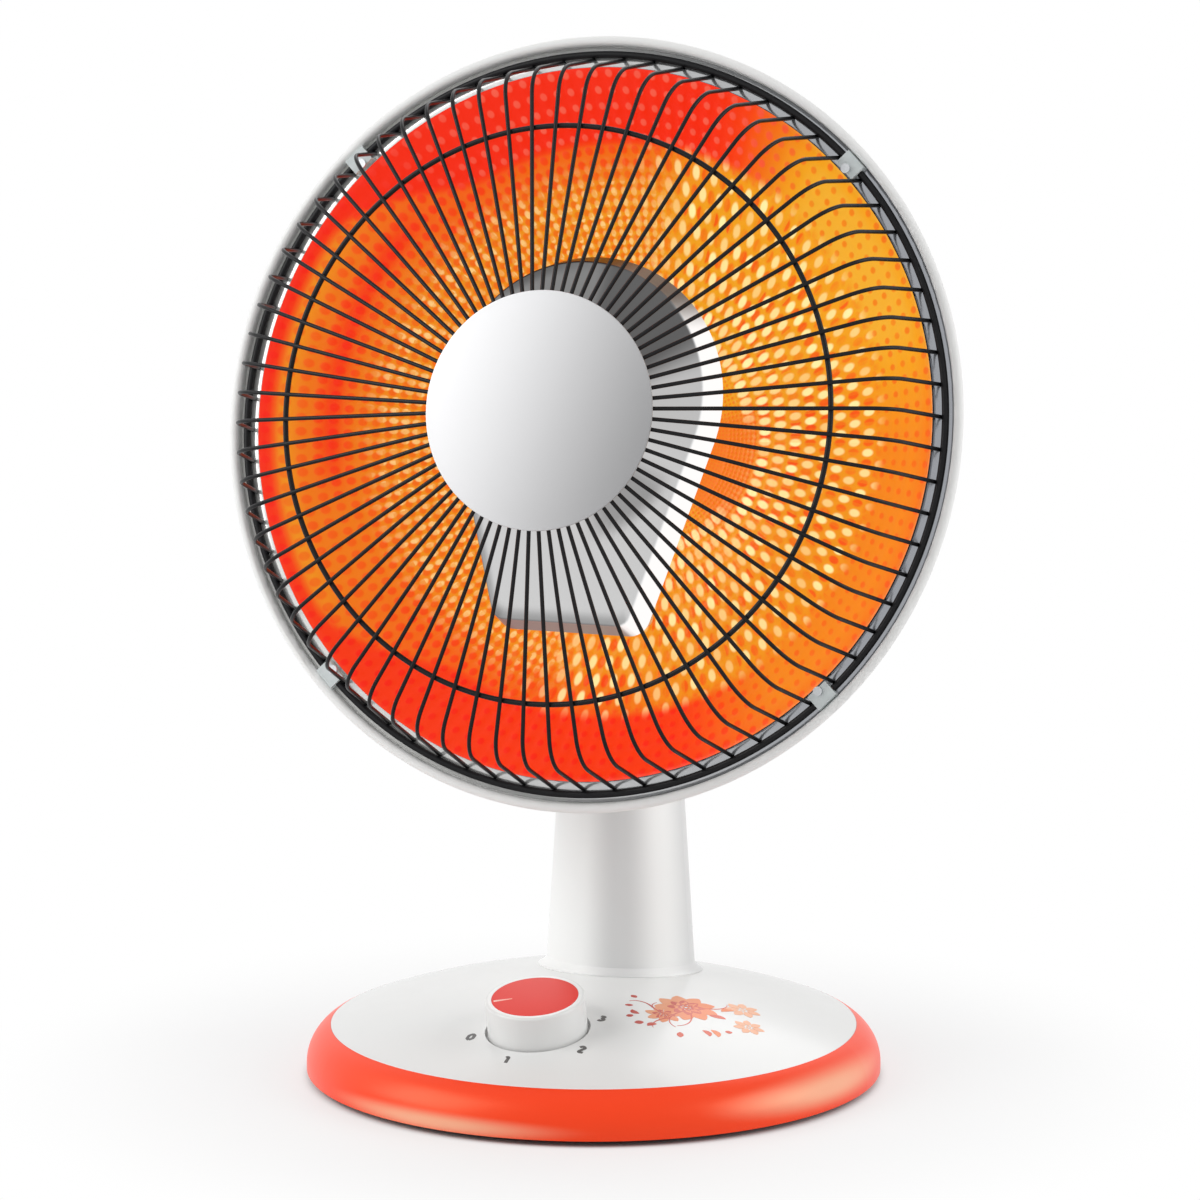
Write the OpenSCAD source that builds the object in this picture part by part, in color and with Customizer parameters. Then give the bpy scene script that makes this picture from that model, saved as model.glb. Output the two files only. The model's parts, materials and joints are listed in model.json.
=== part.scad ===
// Parabolic radiant heater: a dish head with a wire guard on a swivelling,
// tilting neck, a round column and a weighted domed base with a rotary switch.
// Millimetres, +Z up, front towards -Y, origin under the centre of the base.

/* [Head] */
// Outside diameter of the head's rim
head_d = 360; // [344:1:380]
// Upward tilt of the head as it stands
head_tilt = 12.6; // [9:0.1:16]
// Depth of the rear shell behind the rim
shell_depth = 88; // [84:1:96]
// Wall thickness of the rear shell
shell_wall = 2; // [1.6:0.1:3]
// Radial width of the rolled rim of the rear shell
rim_width = 4.6; // [3.6:0.1:6]
// Height of the rolled rim in front of the guard's rim ring
rim_front = 2.5; // [1.5:0.1:4]
// How much narrower the rim's outside is at its back
rim_draft = 1.8; // [0.5:0.1:2.4]

/* [Reflector] */
// Distance of the dish's edge inside the head's outside
dish_in = 15; // [14.5:0.1:20]
// Distance between the dish's bottom and the shell's flat back
dish_back = 13; // [12:0.5:18]
// Thickness of the dish's sheet
dish_wall = 0.8; // [0.6:0.1:1.2]

/* [Guard] */
// Number of radial guard wires
wire_count = 72; // [48:4:80]
// Angle of the first wire above the head's horizontal
wire_phase = 3.8; // [0:0.1:5]
// Diameter of the guard wires
wire_d = 1.9; // [1.6:0.1:2.2]
// Diameter of the rim ring's wire
rim_ring_d = 3.4; // [2.8:0.1:3.8]
// Distance of the rim ring's centre line inside the head's outside
rim_ring_in = 8.6; // [8.4:0.1:10]
// Diameter of the two inner rings' wire
inner_ring_d = 2.5; // [2:0.1:3]
// Distance of the middle ring's centre line inside the head's outside
mid_ring_in = 48.2; // [40:0.1:60]
// Radius of the guard's centre disc
disc_r = 54.5; // [46:0.5:60]
// Height of the wires' centre line at the edge of the centre disc
wire_front = 63.2; // [58:0.1:70]
// Height of the wires' centre line over the middle ring
wire_mid = 48.7; // [45:0.1:52]
// Radius of the bend at the guard's shoulder
wire_bend_r = 18; // [12:1:24]
// Crown of the centre disc
disc_crown = 1.2; // [0.8:0.1:3]

/* [Heating element] */
// Radius of the shield pan's round end
shield_r = 65; // [62:0.5:70]
// Height of the round end's centre above the head's axis
shield_rise = 12; // [8:0.5:16]
// Distance of the shield's bottom edge below the head's axis
shield_drop = 97; // [95:0.5:100]
// Half distance between the centres of the shield's bottom corners
shield_corner_x = 28; // [27:0.5:32]
// Radius of the shield's bottom corners
shield_corner_r = 10; // [7:0.5:12]
// Height of the shield's face in front of the rim
shield_front = 18; // [17:0.5:22]
// Depth of the shield pan
shield_depth = 17; // [14:0.5:19]
// Thickness of the shield's sheet
shield_wall = 1; // [0.8:0.1:1.5]
// Radius of the heating tube's loop
tube_loop_r = 44; // [38:0.5:46]
// Outside diameter of the quartz tube
tube_d = 10; // [8:0.5:11]
// Wall thickness of the quartz tube
tube_wall = 1; // [0.8:0.1:1.4]
// Half distance between the tube's two legs
tube_leg_x = 16; // [15:0.5:17]
// Diameter of the filament coil
filament_d = 3; // [2:0.2:4]

/* [Base] */
// Largest radius of the base
base_r = 135.4; // [130:0.2:142]
// Distance of the seam between the white top and the coloured skirt inside the largest radius
seam_in = 11.4; // [9:0.2:16]
// Height of the seam
seam_z = 24; // [22:0.5:27]
// Rise of the domed top above the seam
dome_h = 22.5; // [20:0.5:24]
// Height of the skirt's widest line
skirt_mid_z = 6; // [5.5:0.5:7]
// Wall thickness of the base mouldings
base_wall = 2.4; // [2:0.1:3]
// Height of the rubber feet
foot_h = 2.4; // [2:0.1:4]
// Radius of the rubber feet
foot_r = 9; // [7:0.5:11]
// Distance of the feet's centres inside the largest radius
foot_in = 23.4; // [20:0.2:32]
// Thickness of the bottom plate
plate_t = 2.4; // [2:0.1:3]
// Thickness of the iron counterweight
weight_t = 7; // [5:0.5:9]

/* [Column] */
// Distance of the column's axis behind the base's centre
column_y = 36.8; // [34:0.2:39]
// Height of the column's top
column_top = 138; // [134:1:140]
// Radius of the column at its top
column_top_r = 29.6; // [29.2:0.2:32]
// Radius of the column at the dome
column_foot_r = 35.4; // [34:0.2:37]
// Wall thickness of the column
column_wall = 2.6; // [2.2:0.1:3.2]
// Radius of the flare that blends the column into the dome
flare_r = 10; // [6:0.5:14]

/* [Neck] */
// Angle of the hinge below the dish's axis, seen from the centre of the shell's ball
lug_angle = 31.93; // [28:0.01:34]
// Distance of the tilt hinge behind the shell's outside
hinge_clear = 19.55; // [18:0.05:24]
// Height of the tilt hinge
hinge_z = 168; // [167:0.5:170]
// Distance of the tilt hinge behind the column's axis
hinge_back = 5; // [3:0.5:6]
// Radius of the hinge bolt
hinge_bolt_r = 4; // [3:0.5:5]
// Radius of the hinge's cheeks and lug
hinge_r = 12; // [10:0.5:12]
// Half width of the lug between the cheeks
lug_half = 10; // [8:0.5:12]
// Thickness of each cheek
cheek_t = 6; // [5:0.5:8]
// Radius of the swivel's tubular spindle
spindle_r = 9; // [8:0.5:10]
// Swing of the head to each side
swing_angle = 35; // [25:1:40]

/* [Controls] */
// Distance of the knob's centre inside the largest radius of the base
knob_in = 61.6; // [58:0.1:68]
// Forward tilt of the knob
knob_tilt = 12.4; // [10:0.2:16]
// Radius of the knob
knob_r = 23; // [21:0.2:24]
// Height of the knob above the dome
knob_h = 15.6; // [12:0.2:17]
// Radius of the coloured insert in the knob
knob_cap_r = 20; // [17:0.2:20.4]
// Depth of the round well round the knob
well_depth = 4; // [3.5:0.1:5]
// Radius of the switch's shaft
shaft_r = 3; // [2.5:0.1:3.2]
// Radius of the tip-over plunger
plunger_r = 3.5; // [3:0.1:4]
// Travel of the tip-over plunger
plunger_travel = 4; // [3:0.5:5]

/* [Hidden] */
$fn = 96;

fit_gap = 0.05; // running fit on the radius
slip_gap = 0.3; // between pieces that pass each other
seat_gap = 0.02; // between pieces welded or pressed together
bite = 0.02; // how far tangent shapes of one piece run into each other
lap = 0.3; // length by which joined bars and bends run into each other
eps = 0.01;
white = [0.95, 0.95, 0.94];
orange = [0.95, 0.3, 0.12];
steel = [0.72, 0.73, 0.75];

// Head frame: +Z forward along the dish's axis, +Y up the dish
head_r = head_d / 2;
flange_r = head_r - rim_width - 0.4;
flange_z = -rim_ring_d / 2 - 0.05;
ledge_t = 3;
shell_open_r = 34;
shell_rear_r = 57;
dish_r = head_r - dish_in;
dish_depth = shell_depth - dish_back;
rim_ring_r = head_r - rim_ring_in;
mid_ring_r = head_r - mid_ring_in;
ledge_z = flange_z - dish_wall;
shell_edge_z = ledge_z - ledge_t;
edge_r = head_r - rim_draft;
ball_z = (pow(edge_r, 2) + pow(shell_edge_z, 2) - pow(shell_rear_r, 2) - pow(shell_depth, 2))
    / (2 * (shell_edge_z + shell_depth));
ball_r = norm([edge_r, shell_edge_z - ball_z]);
hinge_y = column_y + hinge_back;
// Place of the hinge up the dish and along its axis, and from it the place of the rim's centre
hinge_up = -(ball_r + hinge_clear) * sin(lug_angle);
hinge_along = ball_z - (ball_r + hinge_clear) * cos(lug_angle);
head_y = hinge_y - hinge_up * sin(head_tilt) + hinge_along * cos(head_tilt);
head_z = hinge_z - hinge_up * cos(head_tilt) - hinge_along * sin(head_tilt);

function dish_z(r) = -dish_depth * (1 - pow(r / dish_r, 2));
function dish_slope(r) = 2 * dish_depth * r / pow(dish_r, 2);

// Crowned top of a disc: rises by h from its edge at radius r0 to its centre
function crown(r0, h, base) = [for (i = [10 : -1 : 0]) [r0 * i / 10, base + h * (1 - pow(i / 10, 2))]];

module at_head() translate([0, head_y, head_z]) rotate([90 - head_tilt, 0, 0]) children();

// A place on the back of the shell, a degrees below the dish's axis and b degrees aside, +Z inwards
module at_shell(a, b) translate([0, 0, ball_z]) rotate([-a, 0, 0]) rotate([0, b, 0])
    translate([0, 0, -ball_r]) children();

// Pan-head screw under a head of two and a quarter times its shank
module pan_screw(shank_r, shank_h) {
    translate([0, 0, -shank_h]) cylinder(r = shank_r, h = shank_h + eps, $fn = 32);
    cylinder(r = 2.2 * shank_r, h = 1.1 * shank_r, $fn = 32);
}

// ---------------------------------------------------------------- base

seam_r = base_r - seam_in;
foot_at = base_r - foot_in;
knob_y = base_r - knob_in;
plate_z = foot_h;
plate_top = plate_z + plate_t;
skirt_arc_r = (pow(base_r - seam_r, 2) + pow(seam_z - skirt_mid_z, 2)) / (2 * (base_r - seam_r));
ball_dome_r = (pow(seam_r, 2) + pow(dome_h, 2)) / (2 * dome_h);
dome_centre_z = seam_z + dome_h - ball_dome_r;
plate_r = base_r - base_wall - 0.6;
plate_screw_at = base_r - 43.4;
boss_r = 5;
pad_z = 33; // underside of the column's seat
pad_r = 33;
wire_hole_r = 15;
column_screw_at = 28.2;

function dome_z(r) = dome_centre_z + sqrt(pow(ball_dome_r, 2) - pow(r, 2));

// Everything under the dome's outer face moved inwards by t
module under_dome(t) translate([0, 0, dome_centre_z]) sphere(r = ball_dome_r - t, $fn = 240);

// Half cross-section of the skirt's bulging outline moved inwards by t
module skirt_outline(t) {
    translate([base_r - skirt_arc_r, skirt_mid_z]) intersection() {
        circle(r = skirt_arc_r - t);
        square(skirt_arc_r);
    }
    translate([0, plate_z + 0.6]) square([base_r - t, skirt_mid_z - plate_z - 0.6 + eps]);
    translate([0, skirt_mid_z]) square([base_r - skirt_arc_r + eps, skirt_arc_r - t]);
}

module ring_at(radius, count, first = 0) for (i = [0 : count - 1])
    rotate(first + i * 360 / count) translate([radius, 0, 0]) children();

module at_knob() translate([0, -knob_y, dome_z(knob_y)]) rotate([knob_tilt, 0, 0]) children();

screw_r = 1.6; // shank of the base's and the column's screws
screw_hole = screw_r + 0.1;
well_r = knob_r + 1.4;
well_wall = 2.2;
switch_bush_r = 4.8;

module base_top() color(white) difference() {
    union() {
        intersection() {
            translate([0, 0, seam_z - base_wall]) cylinder(r = seam_r - 0.1, h = seam_z + dome_h);
            difference() {
                under_dome(0);
                under_dome(base_wall);
            }
        }
        // pad under the column, knob well and screw bosses, closed by the dome above them
        intersection() {
            under_dome(base_wall / 2);
            union() {
                translate([0, column_y, pad_z]) cylinder(r = pad_r, h = dome_h);
                at_knob() translate([0, 0, -well_depth - well_wall])
                    cylinder(r = well_r + well_wall, h = well_depth + well_wall + 6);
                ring_at(plate_screw_at, 4, 45)
                    translate([0, 0, plate_top]) cylinder(r = boss_r, h = seam_z + dome_h);
            }
        }
    }
    at_knob() translate([0, 0, -well_depth]) cylinder(r = well_r, h = well_depth + 12);
    at_knob() translate([0, 0, -20]) cylinder(r = switch_bush_r + 0.1, h = 20);
    translate([0, column_y, 0]) cylinder(r = wire_hole_r, h = 80);
    translate([0, column_y, 0]) ring_at(column_screw_at, 3, 90) cylinder(r = 2.1, h = 80, $fn = 32);
    ring_at(plate_screw_at, 4, 45) translate([0, 0, plate_top - eps])
        cylinder(r = screw_hole, h = plate_screw_len - plate_t + 2, $fn = 32);
}

ledge_w = 6;
grommet_z = 13;
grommet_r = 4.6;
grommet_bore_r = 3.4;
grommet_flange = 1.6;
grommet_len = 9;
grommet_seat = base_r - 4.8; // flat face in the skirt that the bush's flange sits on
grommet_wall = 2.6;
grommet_in = grommet_seat - grommet_wall - 2.05; // inner end of the bush
feet_first = 22.5;

// The cord's way in, z pointing out of the base
module at_grommet(y) translate([0, y, grommet_z]) rotate([-90, 0, 0]) children();

module base_skirt() color(orange) difference() {
    union() {
        rotate_extrude($fn = 180) {
            difference() {
                skirt_outline(0);
                skirt_outline(base_wall);
                square([seam_r, seam_z * 2]);
            }
            // ledge that carries the domed top
            translate([seam_r - ledge_w, seam_z - 2 * base_wall - 0.1]) square([ledge_w + 1.2, base_wall]);
            // foot ledge that the bottom plate is screwed against
            translate([base_r - base_wall - 5, plate_top]) square([5 + base_wall / 2, 2]);
        }
        // thick wall round the cord's bush
        intersection() {
            rotate_extrude($fn = 180) skirt_outline(0);
            at_grommet(grommet_seat - grommet_wall) cylinder(r = grommet_r + 3.4, h = 20);
        }
    }
    at_grommet(0) cylinder(r = grommet_r, h = base_r + 5);
    at_grommet(0) cylinder(r = grommet_r + 1.4, h = grommet_seat - grommet_wall);
    at_grommet(grommet_seat) cylinder(r = grommet_r + 2, h = 20);
}

module base_plate() color("dimgray") difference() {
    union() {
        translate([0, 0, plate_z]) cylinder(r = plate_r, h = plate_t);
        // guide tube of the tip-over plunger
        at_plunger() translate([0, 0, plate_top - eps]) cylinder(r = plunger_r + 3, h = guide_h);
        // pegs that locate the counterweight
        ring_at(weight_peg_at, 3, -30) translate([0, 0, plate_top - eps]) cylinder(r = 3, h = weight_t - 1);
        // rim that stiffens the plate
        translate([0, 0, plate_top - eps]) difference() {
            cylinder(r = plate_r - 7, h = 3);
            translate([0, 0, -1]) cylinder(r = plate_r - 9, h = 5);
        }
    }
    at_plunger() cylinder(r = plunger_r + fit_gap, h = 40);
    ring_at(plate_screw_at, 4, 45) cylinder(r = 2.1, h = 40, $fn = 32);
    ring_at(foot_at, 4, feet_first) cylinder(r = 3, h = 40, $fn = 32);
    // cooling slots
    for (side = [-1, 1]) for (i = [-3 : 3])
        translate([side * 28 + i * 6, -40, plate_z - 1]) cube([2.4, 36, plate_t + 2]);
}

module rubber_feet() color([0.1, 0.1, 0.1]) ring_at(foot_at, 4, feet_first) {
    rotate_extrude($fn = 48) polygon([[0, 0], [foot_r - 1, 0], [foot_r, 1], [foot_r, foot_h], [2.9, foot_h],
        [2.9, plate_top + 0.1], [4, plate_top + 0.1], [2.6, plate_top + 4], [0, plate_top + 4]]);
}

plate_screw_len = 14.4;

module plate_screws() color(steel) ring_at(plate_screw_at, 4, 45)
    translate([0, 0, plate_z]) mirror([0, 0, 1]) pan_screw(screw_r, plate_screw_len);

weight_r2 = base_r - 35.4;
weight_r1 = weight_r2 - 34;
weight_peg_at = weight_r2 - 20;

module counterweight() color([0.25, 0.25, 0.27]) difference() {
    translate([0, 0, plate_top + 0.1]) rotate(-50)
        rotate_extrude(angle = 280) translate([weight_r1, 0]) square([weight_r2 - weight_r1, weight_t]);
    ring_at(weight_peg_at, 3, -30) cylinder(r = 3.2, h = 40);
    ring_at(plate_screw_at, 4, 45) cylinder(r = boss_r + 1, h = 40);
    // room for the tip-over switch
    at_plunger() translate([-18, -11, 0]) cube([36, 40, 40]);
}

// The cord's rubber bush in the back of the skirt
module cord_grommet() color([0.12, 0.12, 0.12]) difference() {
    union() {
        at_grommet(grommet_in) cylinder(r = grommet_r + 1.2, h = 2);
        at_grommet(grommet_in) cylinder(r = grommet_r - 0.05, h = grommet_len - 2);
        at_grommet(grommet_seat + seat_gap) cylinder(r = grommet_r + 1.8, h = grommet_flange);
        at_grommet(grommet_seat + grommet_flange) cylinder(r = grommet_bore_r + 1.7,
            h = grommet_in + grommet_len - grommet_seat - grommet_flange);
    }
    at_grommet(grommet_in - 1) cylinder(r = grommet_bore_r, h = grommet_len + 2);
}

module terminal_block() color([0.9, 0.88, 0.8]) translate([-weight_r1 + 14, -10, plate_top]) difference() {
    cube([14, 40, 13]);
    for (i = [0 : 3]) translate([7, 5 + i * 10, 5]) cylinder(r = 2.4, h = 20, $fn = 32);
    for (i = [0 : 3]) translate([-1, 5 + i * 10, 5]) rotate([0, 90, 0]) cylinder(r = 2, h = 20, $fn = 32);
}

// ---------------------------------------------------------------- tip-over switch

plunger_at = [0, base_r - 39.4];
guide_h = 4.2;
collar_t = 1.6;
collar_z = plate_top + guide_h + plunger_travel + slip_gap;
plunger_len = collar_z + collar_t + 4;

module at_plunger() translate([plunger_at[0], plunger_at[1], 0]) children();

module tip_plunger() color([0.9, 0.2, 0.1]) at_plunger() {
    cylinder(r = plunger_r, h = plunger_len, $fn = 48);
    translate([0, 0, collar_z]) cylinder(r = plunger_r + 2, h = collar_t);
}

// Micro-switch on two legs over the plunger
module tip_switch() color([0.15, 0.15, 0.17]) at_plunger() {
    leg_x = plunger_r + 3.4;
    translate([-14, -5, plunger_len + slip_gap]) cube([28, 10, 9]);
    for (side = [-1, 1]) translate([side * (leg_x + 3.4) - 3, -5, plate_top + eps])
        cube([6, 10, plunger_len + slip_gap - plate_top]);
}

// ---------------------------------------------------------------- rotary switch and knob

switch_h = 18;
shaft_low = -well_depth - well_wall - 8;
knob_gap = 0.8;
knob_wall = 2;
knob_low = -well_depth + knob_gap;
cap_seat = 1.2;

module rotary_switch() color([0.85, 0.83, 0.76]) at_knob() difference() {
    union() {
        translate([-13, -13, -well_depth - well_wall - switch_h]) cube([26, 26, switch_h]);
        translate([0, 0, -well_depth - well_wall - eps]) cylinder(r = switch_bush_r, h = well_depth + well_wall + 0.2);
        // contact tabs
        for (i = [-1 : 1]) translate([i * 8 - 2, -17, -well_depth - well_wall - switch_h + 3]) cube([4, 5, 0.8]);
    }
    translate([0, 0, shaft_low - slip_gap]) cylinder(r = shaft_r + fit_gap, h = 40);
}

module switch_nut() color(steel) at_knob() translate([0, 0, -well_depth]) difference() {
    cylinder(r = 8, h = 2.4, $fn = 6);
    translate([0, 0, -1]) cylinder(r = switch_bush_r + 0.05, h = 5);
}

shaft_top = knob_h - cap_seat - 2.4 - 0.6;

module switch_shaft() color(steel) at_knob() difference() {
    translate([0, 0, shaft_low]) cylinder(r = shaft_r, h = shaft_top - shaft_low);
    // flat that turns the knob
    translate([shaft_r - 0.8, -5, 0.9]) cube([5, 10, 20]);
}

module knob() color(white) at_knob() difference() {
    union() {
        difference() {
            rotate_extrude() {
                difference() {
                    translate([0, knob_low]) square([knob_r, knob_h - knob_low]);
                    translate([knob_r - 1.2, knob_h - 1.2]) difference() {
                        square(2);
                        circle(r = 1.2, $fn = 48);
                    }
                }
            }
            translate([0, 0, knob_low - 1])
                cylinder(r = knob_r - knob_wall, h = knob_h - knob_low - cap_seat - 2.4 + 1);
        }
        translate([0, 0, 0.9]) cylinder(r = 6, h = knob_h - 3);
    }
    // socket for the shaft, with its flat
    difference() {
        translate([0, 0, 0]) cylinder(r = shaft_r + fit_gap, h = shaft_top + 0.2);
        translate([shaft_r - 0.8 + fit_gap, -5, 0]) cube([5, 10, 20]);
    }
    translate([0, 0, knob_h - cap_seat]) cylinder(r = knob_cap_r + 0.1, h = 5);
}

module knob_cap() color([0.93, 0.2, 0.13]) at_knob() translate([0, 0, knob_h - cap_seat])
    rotate_extrude() polygon(concat([[0, 0], [knob_cap_r, 0]], crown(knob_cap_r, 0.4, cap_seat)));

// ---------------------------------------------------------------- column

deck_t = 4;
bush_flange = 1;
dome_tilt = asin(column_y / ball_dome_r);
boss_top = dome_z(column_y) + 20;
stop_at = 21; // radius of the swing stop's pin
stop_r = 2;
stop_slot = stop_r + 0.6;
column_screw_r = 1.55;

module column_outline(t) {
    foot = pad_z;
    slope = (column_foot_r - column_top_r) / (column_top - dome_z(column_y));
    low_r = column_foot_r + slope * (dome_z(column_y) - foot);
    polygon([[0, foot], [low_r - t, foot], [column_top_r + slope * 2 - t, column_top - 2],
        [column_top_r - t - 1.4, column_top], [0, column_top]]);
}

// Flare that blends the column into the dome, square to the dome's face. Its hollow touches both, and it ends
// where it is flare_edge thick.
flare_edge = 0.5;
flare_at = column_foot_r + flare_r - 1.8;
flare_up = sqrt(pow(ball_dome_r + flare_r, 2) - pow(flare_at, 2)) - ball_dome_r;
flare_end = flare_at * ball_dome_r / (ball_dome_r + flare_r)
    - sqrt(2 * flare_edge / (1 / flare_r + 1 / ball_dome_r));

module column_flare() translate([0, column_y, dome_z(column_y)]) rotate([-dome_tilt, 0, 0])
    rotate_extrude() difference() {
        translate([20, -6]) square([flare_end - 20, flare_up + 6]);
        translate([flare_at, flare_up]) circle(r = flare_r);
    }

module column() color(white) difference() {
    union() {
        translate([0, column_y, 0]) rotate_extrude() column_outline(0);
        column_flare();
    }
    difference() {
        translate([0, column_y, 0]) rotate_extrude() difference() {
            column_outline(column_wall);
            translate([0, column_top - deck_t]) square([60, 20]);
        }
        // bosses for the screws from the base and for the motor
        translate([0, column_y, 0]) ring_at(column_screw_at, 3, 90) cylinder(r = 4.6, h = boss_top);
        translate([0, column_y, motor_top]) for (side = [-1, 1]) translate([side * motor_screw_at, 0, 0])
            cylinder(r = 3.2, h = 40);
    }
    under_dome(0);
    translate([0, column_y, 0]) {
        ring_at(column_screw_at, 3, 90) cylinder(r = column_screw_r + fit_gap, h = boss_top - 4, $fn = 32);
        cylinder(r = spindle_r + 2, h = 200);
        translate([0, 0, motor_top - 1]) for (side = [-1, 1]) translate([side * motor_screw_at, 0, 0])
            cylinder(r = motor_screw_r + fit_gap, h = motor_screw_len, $fn = 32);
        // slot for the swing stop
        translate([0, 0, column_top - deck_t - 1]) rotate(90 - swing_angle) rotate_extrude(angle = 2 * swing_angle)
            translate([stop_at - stop_slot, 0]) square([2 * stop_slot, deck_t + 2]);
        for (side = [-1, 1]) rotate(90 + side * swing_angle) translate([stop_at, 0, column_top - deck_t - 1])
            cylinder(r = stop_slot, h = deck_t + 2, $fn = 32);
    }
}

module column_screws() color(steel) translate([0, column_y, pad_z - fit_gap]) ring_at(column_screw_at, 3, 90)
    mirror([0, 0, 1]) pan_screw(column_screw_r, boss_top - 6 - pad_z);

module swivel_bush() color([0.75, 0.6, 0.3]) translate([0, column_y, 0]) difference() {
    union() {
        translate([0, 0, column_top - deck_t - 0.4]) cylinder(r = spindle_r + 1.98, h = deck_t + 0.4 + eps);
        translate([0, 0, column_top]) cylinder(r = spindle_r + 5, h = bush_flange);
    }
    cylinder(r = spindle_r + fit_gap, h = 300);
}

// ---------------------------------------------------------------- swing drive

motor_top = column_top - deck_t - 12;
motor_r = 21;
motor_h = 18;
motor_ear_t = 1.5;
motor_screw_at = 24.2;
motor_screw_r = 1.2;
motor_screw_len = 8.5;
motor_shaft_r = 3;

module swing_motor() color([0.7, 0.7, 0.68]) translate([0, column_y, 0]) difference() {
    union() {
        translate([0, 0, motor_top - motor_h]) cylinder(r = motor_r, h = motor_h - motor_ear_t);
        translate([0, 0, motor_top - motor_ear_t - eps]) {
            cylinder(r = motor_r - 1, h = motor_ear_t + eps);
            for (side = [-1, 1]) translate([side * motor_screw_at, 0, 0]) cylinder(r = 3, h = motor_ear_t, $fn = 32);
            translate([-motor_screw_at, -3, 0]) cube([2 * motor_screw_at, 6, motor_ear_t]);
        }
        translate([0, 0, motor_top - eps]) cylinder(r = 6, h = 2);
    }
    translate([0, 0, motor_top - 8]) cylinder(r = motor_shaft_r + fit_gap, h = 30);
    for (side = [-1, 1]) translate([side * motor_screw_at, 0, motor_top - 2 * motor_ear_t])
        cylinder(r = motor_screw_r + slip_gap, h = 3 * motor_ear_t, $fn = 32);
}

module motor_screws() color(steel) translate([0, column_y, motor_top - motor_ear_t - fit_gap])
    for (side = [-1, 1]) translate([side * motor_screw_at, 0, 0]) mirror([0, 0, 1])
        pan_screw(motor_screw_r, motor_screw_len);

spindle_low = column_top - deck_t - 4;
socket_top = column_top + 4;

module motor_shaft() color(steel) translate([0, column_y, 0]) difference() {
    translate([0, 0, motor_top - 7.6]) cylinder(r = motor_shaft_r, h = socket_top - 0.4 - motor_top + 7.6);
    translate([motor_shaft_r - 0.6, -5, spindle_low - 1]) cube([5, 10, 40]);
}

// ---------------------------------------------------------------- neck

turret_low = column_top + bush_flange + 0.1;
skirt_low = column_top + 0.6;
turret_r = column_top_r - 0.6;
turret_top = hinge_z - hinge_r - 1;
clip_low = column_top - deck_t - 0.4 - 0.3 - 1.2;

module turret_profile() {
    // tubular spindle
    translate([0, spindle_low]) square([spindle_r, turret_low - spindle_low + eps]);
    difference() {
        translate([0, skirt_low]) square([turret_r, turret_top - skirt_low]);
        // rounded shoulder
        translate([turret_r - 10, turret_top - 10]) difference() {
            square(11);
            circle(r = 10);
        }
        // hollow under the cap, round the bush
        translate([spindle_r + 6, skirt_low - 1]) square([turret_r - 2.4 - spindle_r - 6, turret_top - skirt_low - 6]);
        translate([0, skirt_low - 1]) square([spindle_r + 7, turret_low - skirt_low + 1]);
    }
}

// Two-cheeked head of the turret
module turret() color(white) difference() {
    union() {
        translate([0, column_y, 0]) rotate_extrude() turret_profile();
        for (side = [-1, 1]) translate([side * (lug_half + 1.3 + cheek_t / 2), 0, 0])
            translate([-cheek_t / 2, 0, 0]) rotate([90, 0, 90]) linear_extrude(cheek_t) {
                translate([hinge_y, hinge_z]) circle(r = hinge_r);
                translate([hinge_y - hinge_r, turret_top - 3]) square([2 * hinge_r, hinge_z - turret_top + 3]);
            }
        // pin of the swing stop
        translate([0, column_y + stop_at, column_top - deck_t + 0.5])
            cylinder(r = stop_r, h = turret_top - column_top - 2, $fn = 32);
    }
    translate([0, column_y, spindle_low - 1]) difference() {
        cylinder(r = motor_shaft_r + 0.04, h = socket_top - spindle_low + 1);
        translate([motor_shaft_r - 0.6 + 0.04, -5, -1]) cube([5, 10, 40]);
    }
    // groove of the retaining clip
    translate([0, column_y, clip_low - 0.05]) difference() {
        cylinder(r = spindle_r + 2, h = 1.3);
        translate([0, 0, -1]) cylinder(r = spindle_r - 1.5, h = 4);
    }
    translate([-2 * cheek_out, hinge_y, hinge_z]) rotate([0, 90, 0])
        cylinder(r = hinge_bolt_r + 0.04, h = 4 * cheek_out);
}

module retaining_clip() color(steel) translate([0, column_y, clip_low]) difference() {
    cylinder(r = spindle_r + 2.6, h = 1.2);
    translate([0, 0, -1]) cylinder(r = spindle_r - 1.46, h = 4);
    translate([-3, 0, -1]) cube([6, 20, 4]);
}

cheek_out = lug_half + 1.3 + cheek_t;
nut_r = 7.5;
nut_h = 5;

module tilt_bolt() color(steel) translate([0, hinge_y, hinge_z]) rotate([0, 90, 0]) {
    translate([0, 0, -cheek_out - nut_h / 2]) cylinder(r = hinge_bolt_r, h = 2 * cheek_out + 1.7 * nut_h);
    translate([0, 0, -cheek_out - nut_h - seat_gap]) cylinder(r = nut_r, h = nut_h, $fn = 6);
}

module tilt_nut() color(steel) translate([cheek_out, hinge_y, hinge_z]) rotate([0, 90, 0]) difference() {
    translate([0, 0, seat_gap]) cylinder(r = nut_r, h = nut_h, $fn = 6);
    translate([0, 0, -1]) cylinder(r = hinge_bolt_r + seat_gap, h = 2 * nut_h);
}

module tilt_washers() color([0.3, 0.3, 0.3]) translate([0, hinge_y, hinge_z]) for (side = [-1, 1])
    translate([side * (lug_half + 0.7), 0, 0]) rotate([0, 90, 0]) difference() {
        translate([0, 0, -0.6]) cylinder(r = hinge_r - 1, h = 1.2);
        translate([0, 0, -1]) cylinder(r = hinge_bolt_r + 0.04, h = 2);
    }

// ---------------------------------------------------------------- head shell

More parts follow.
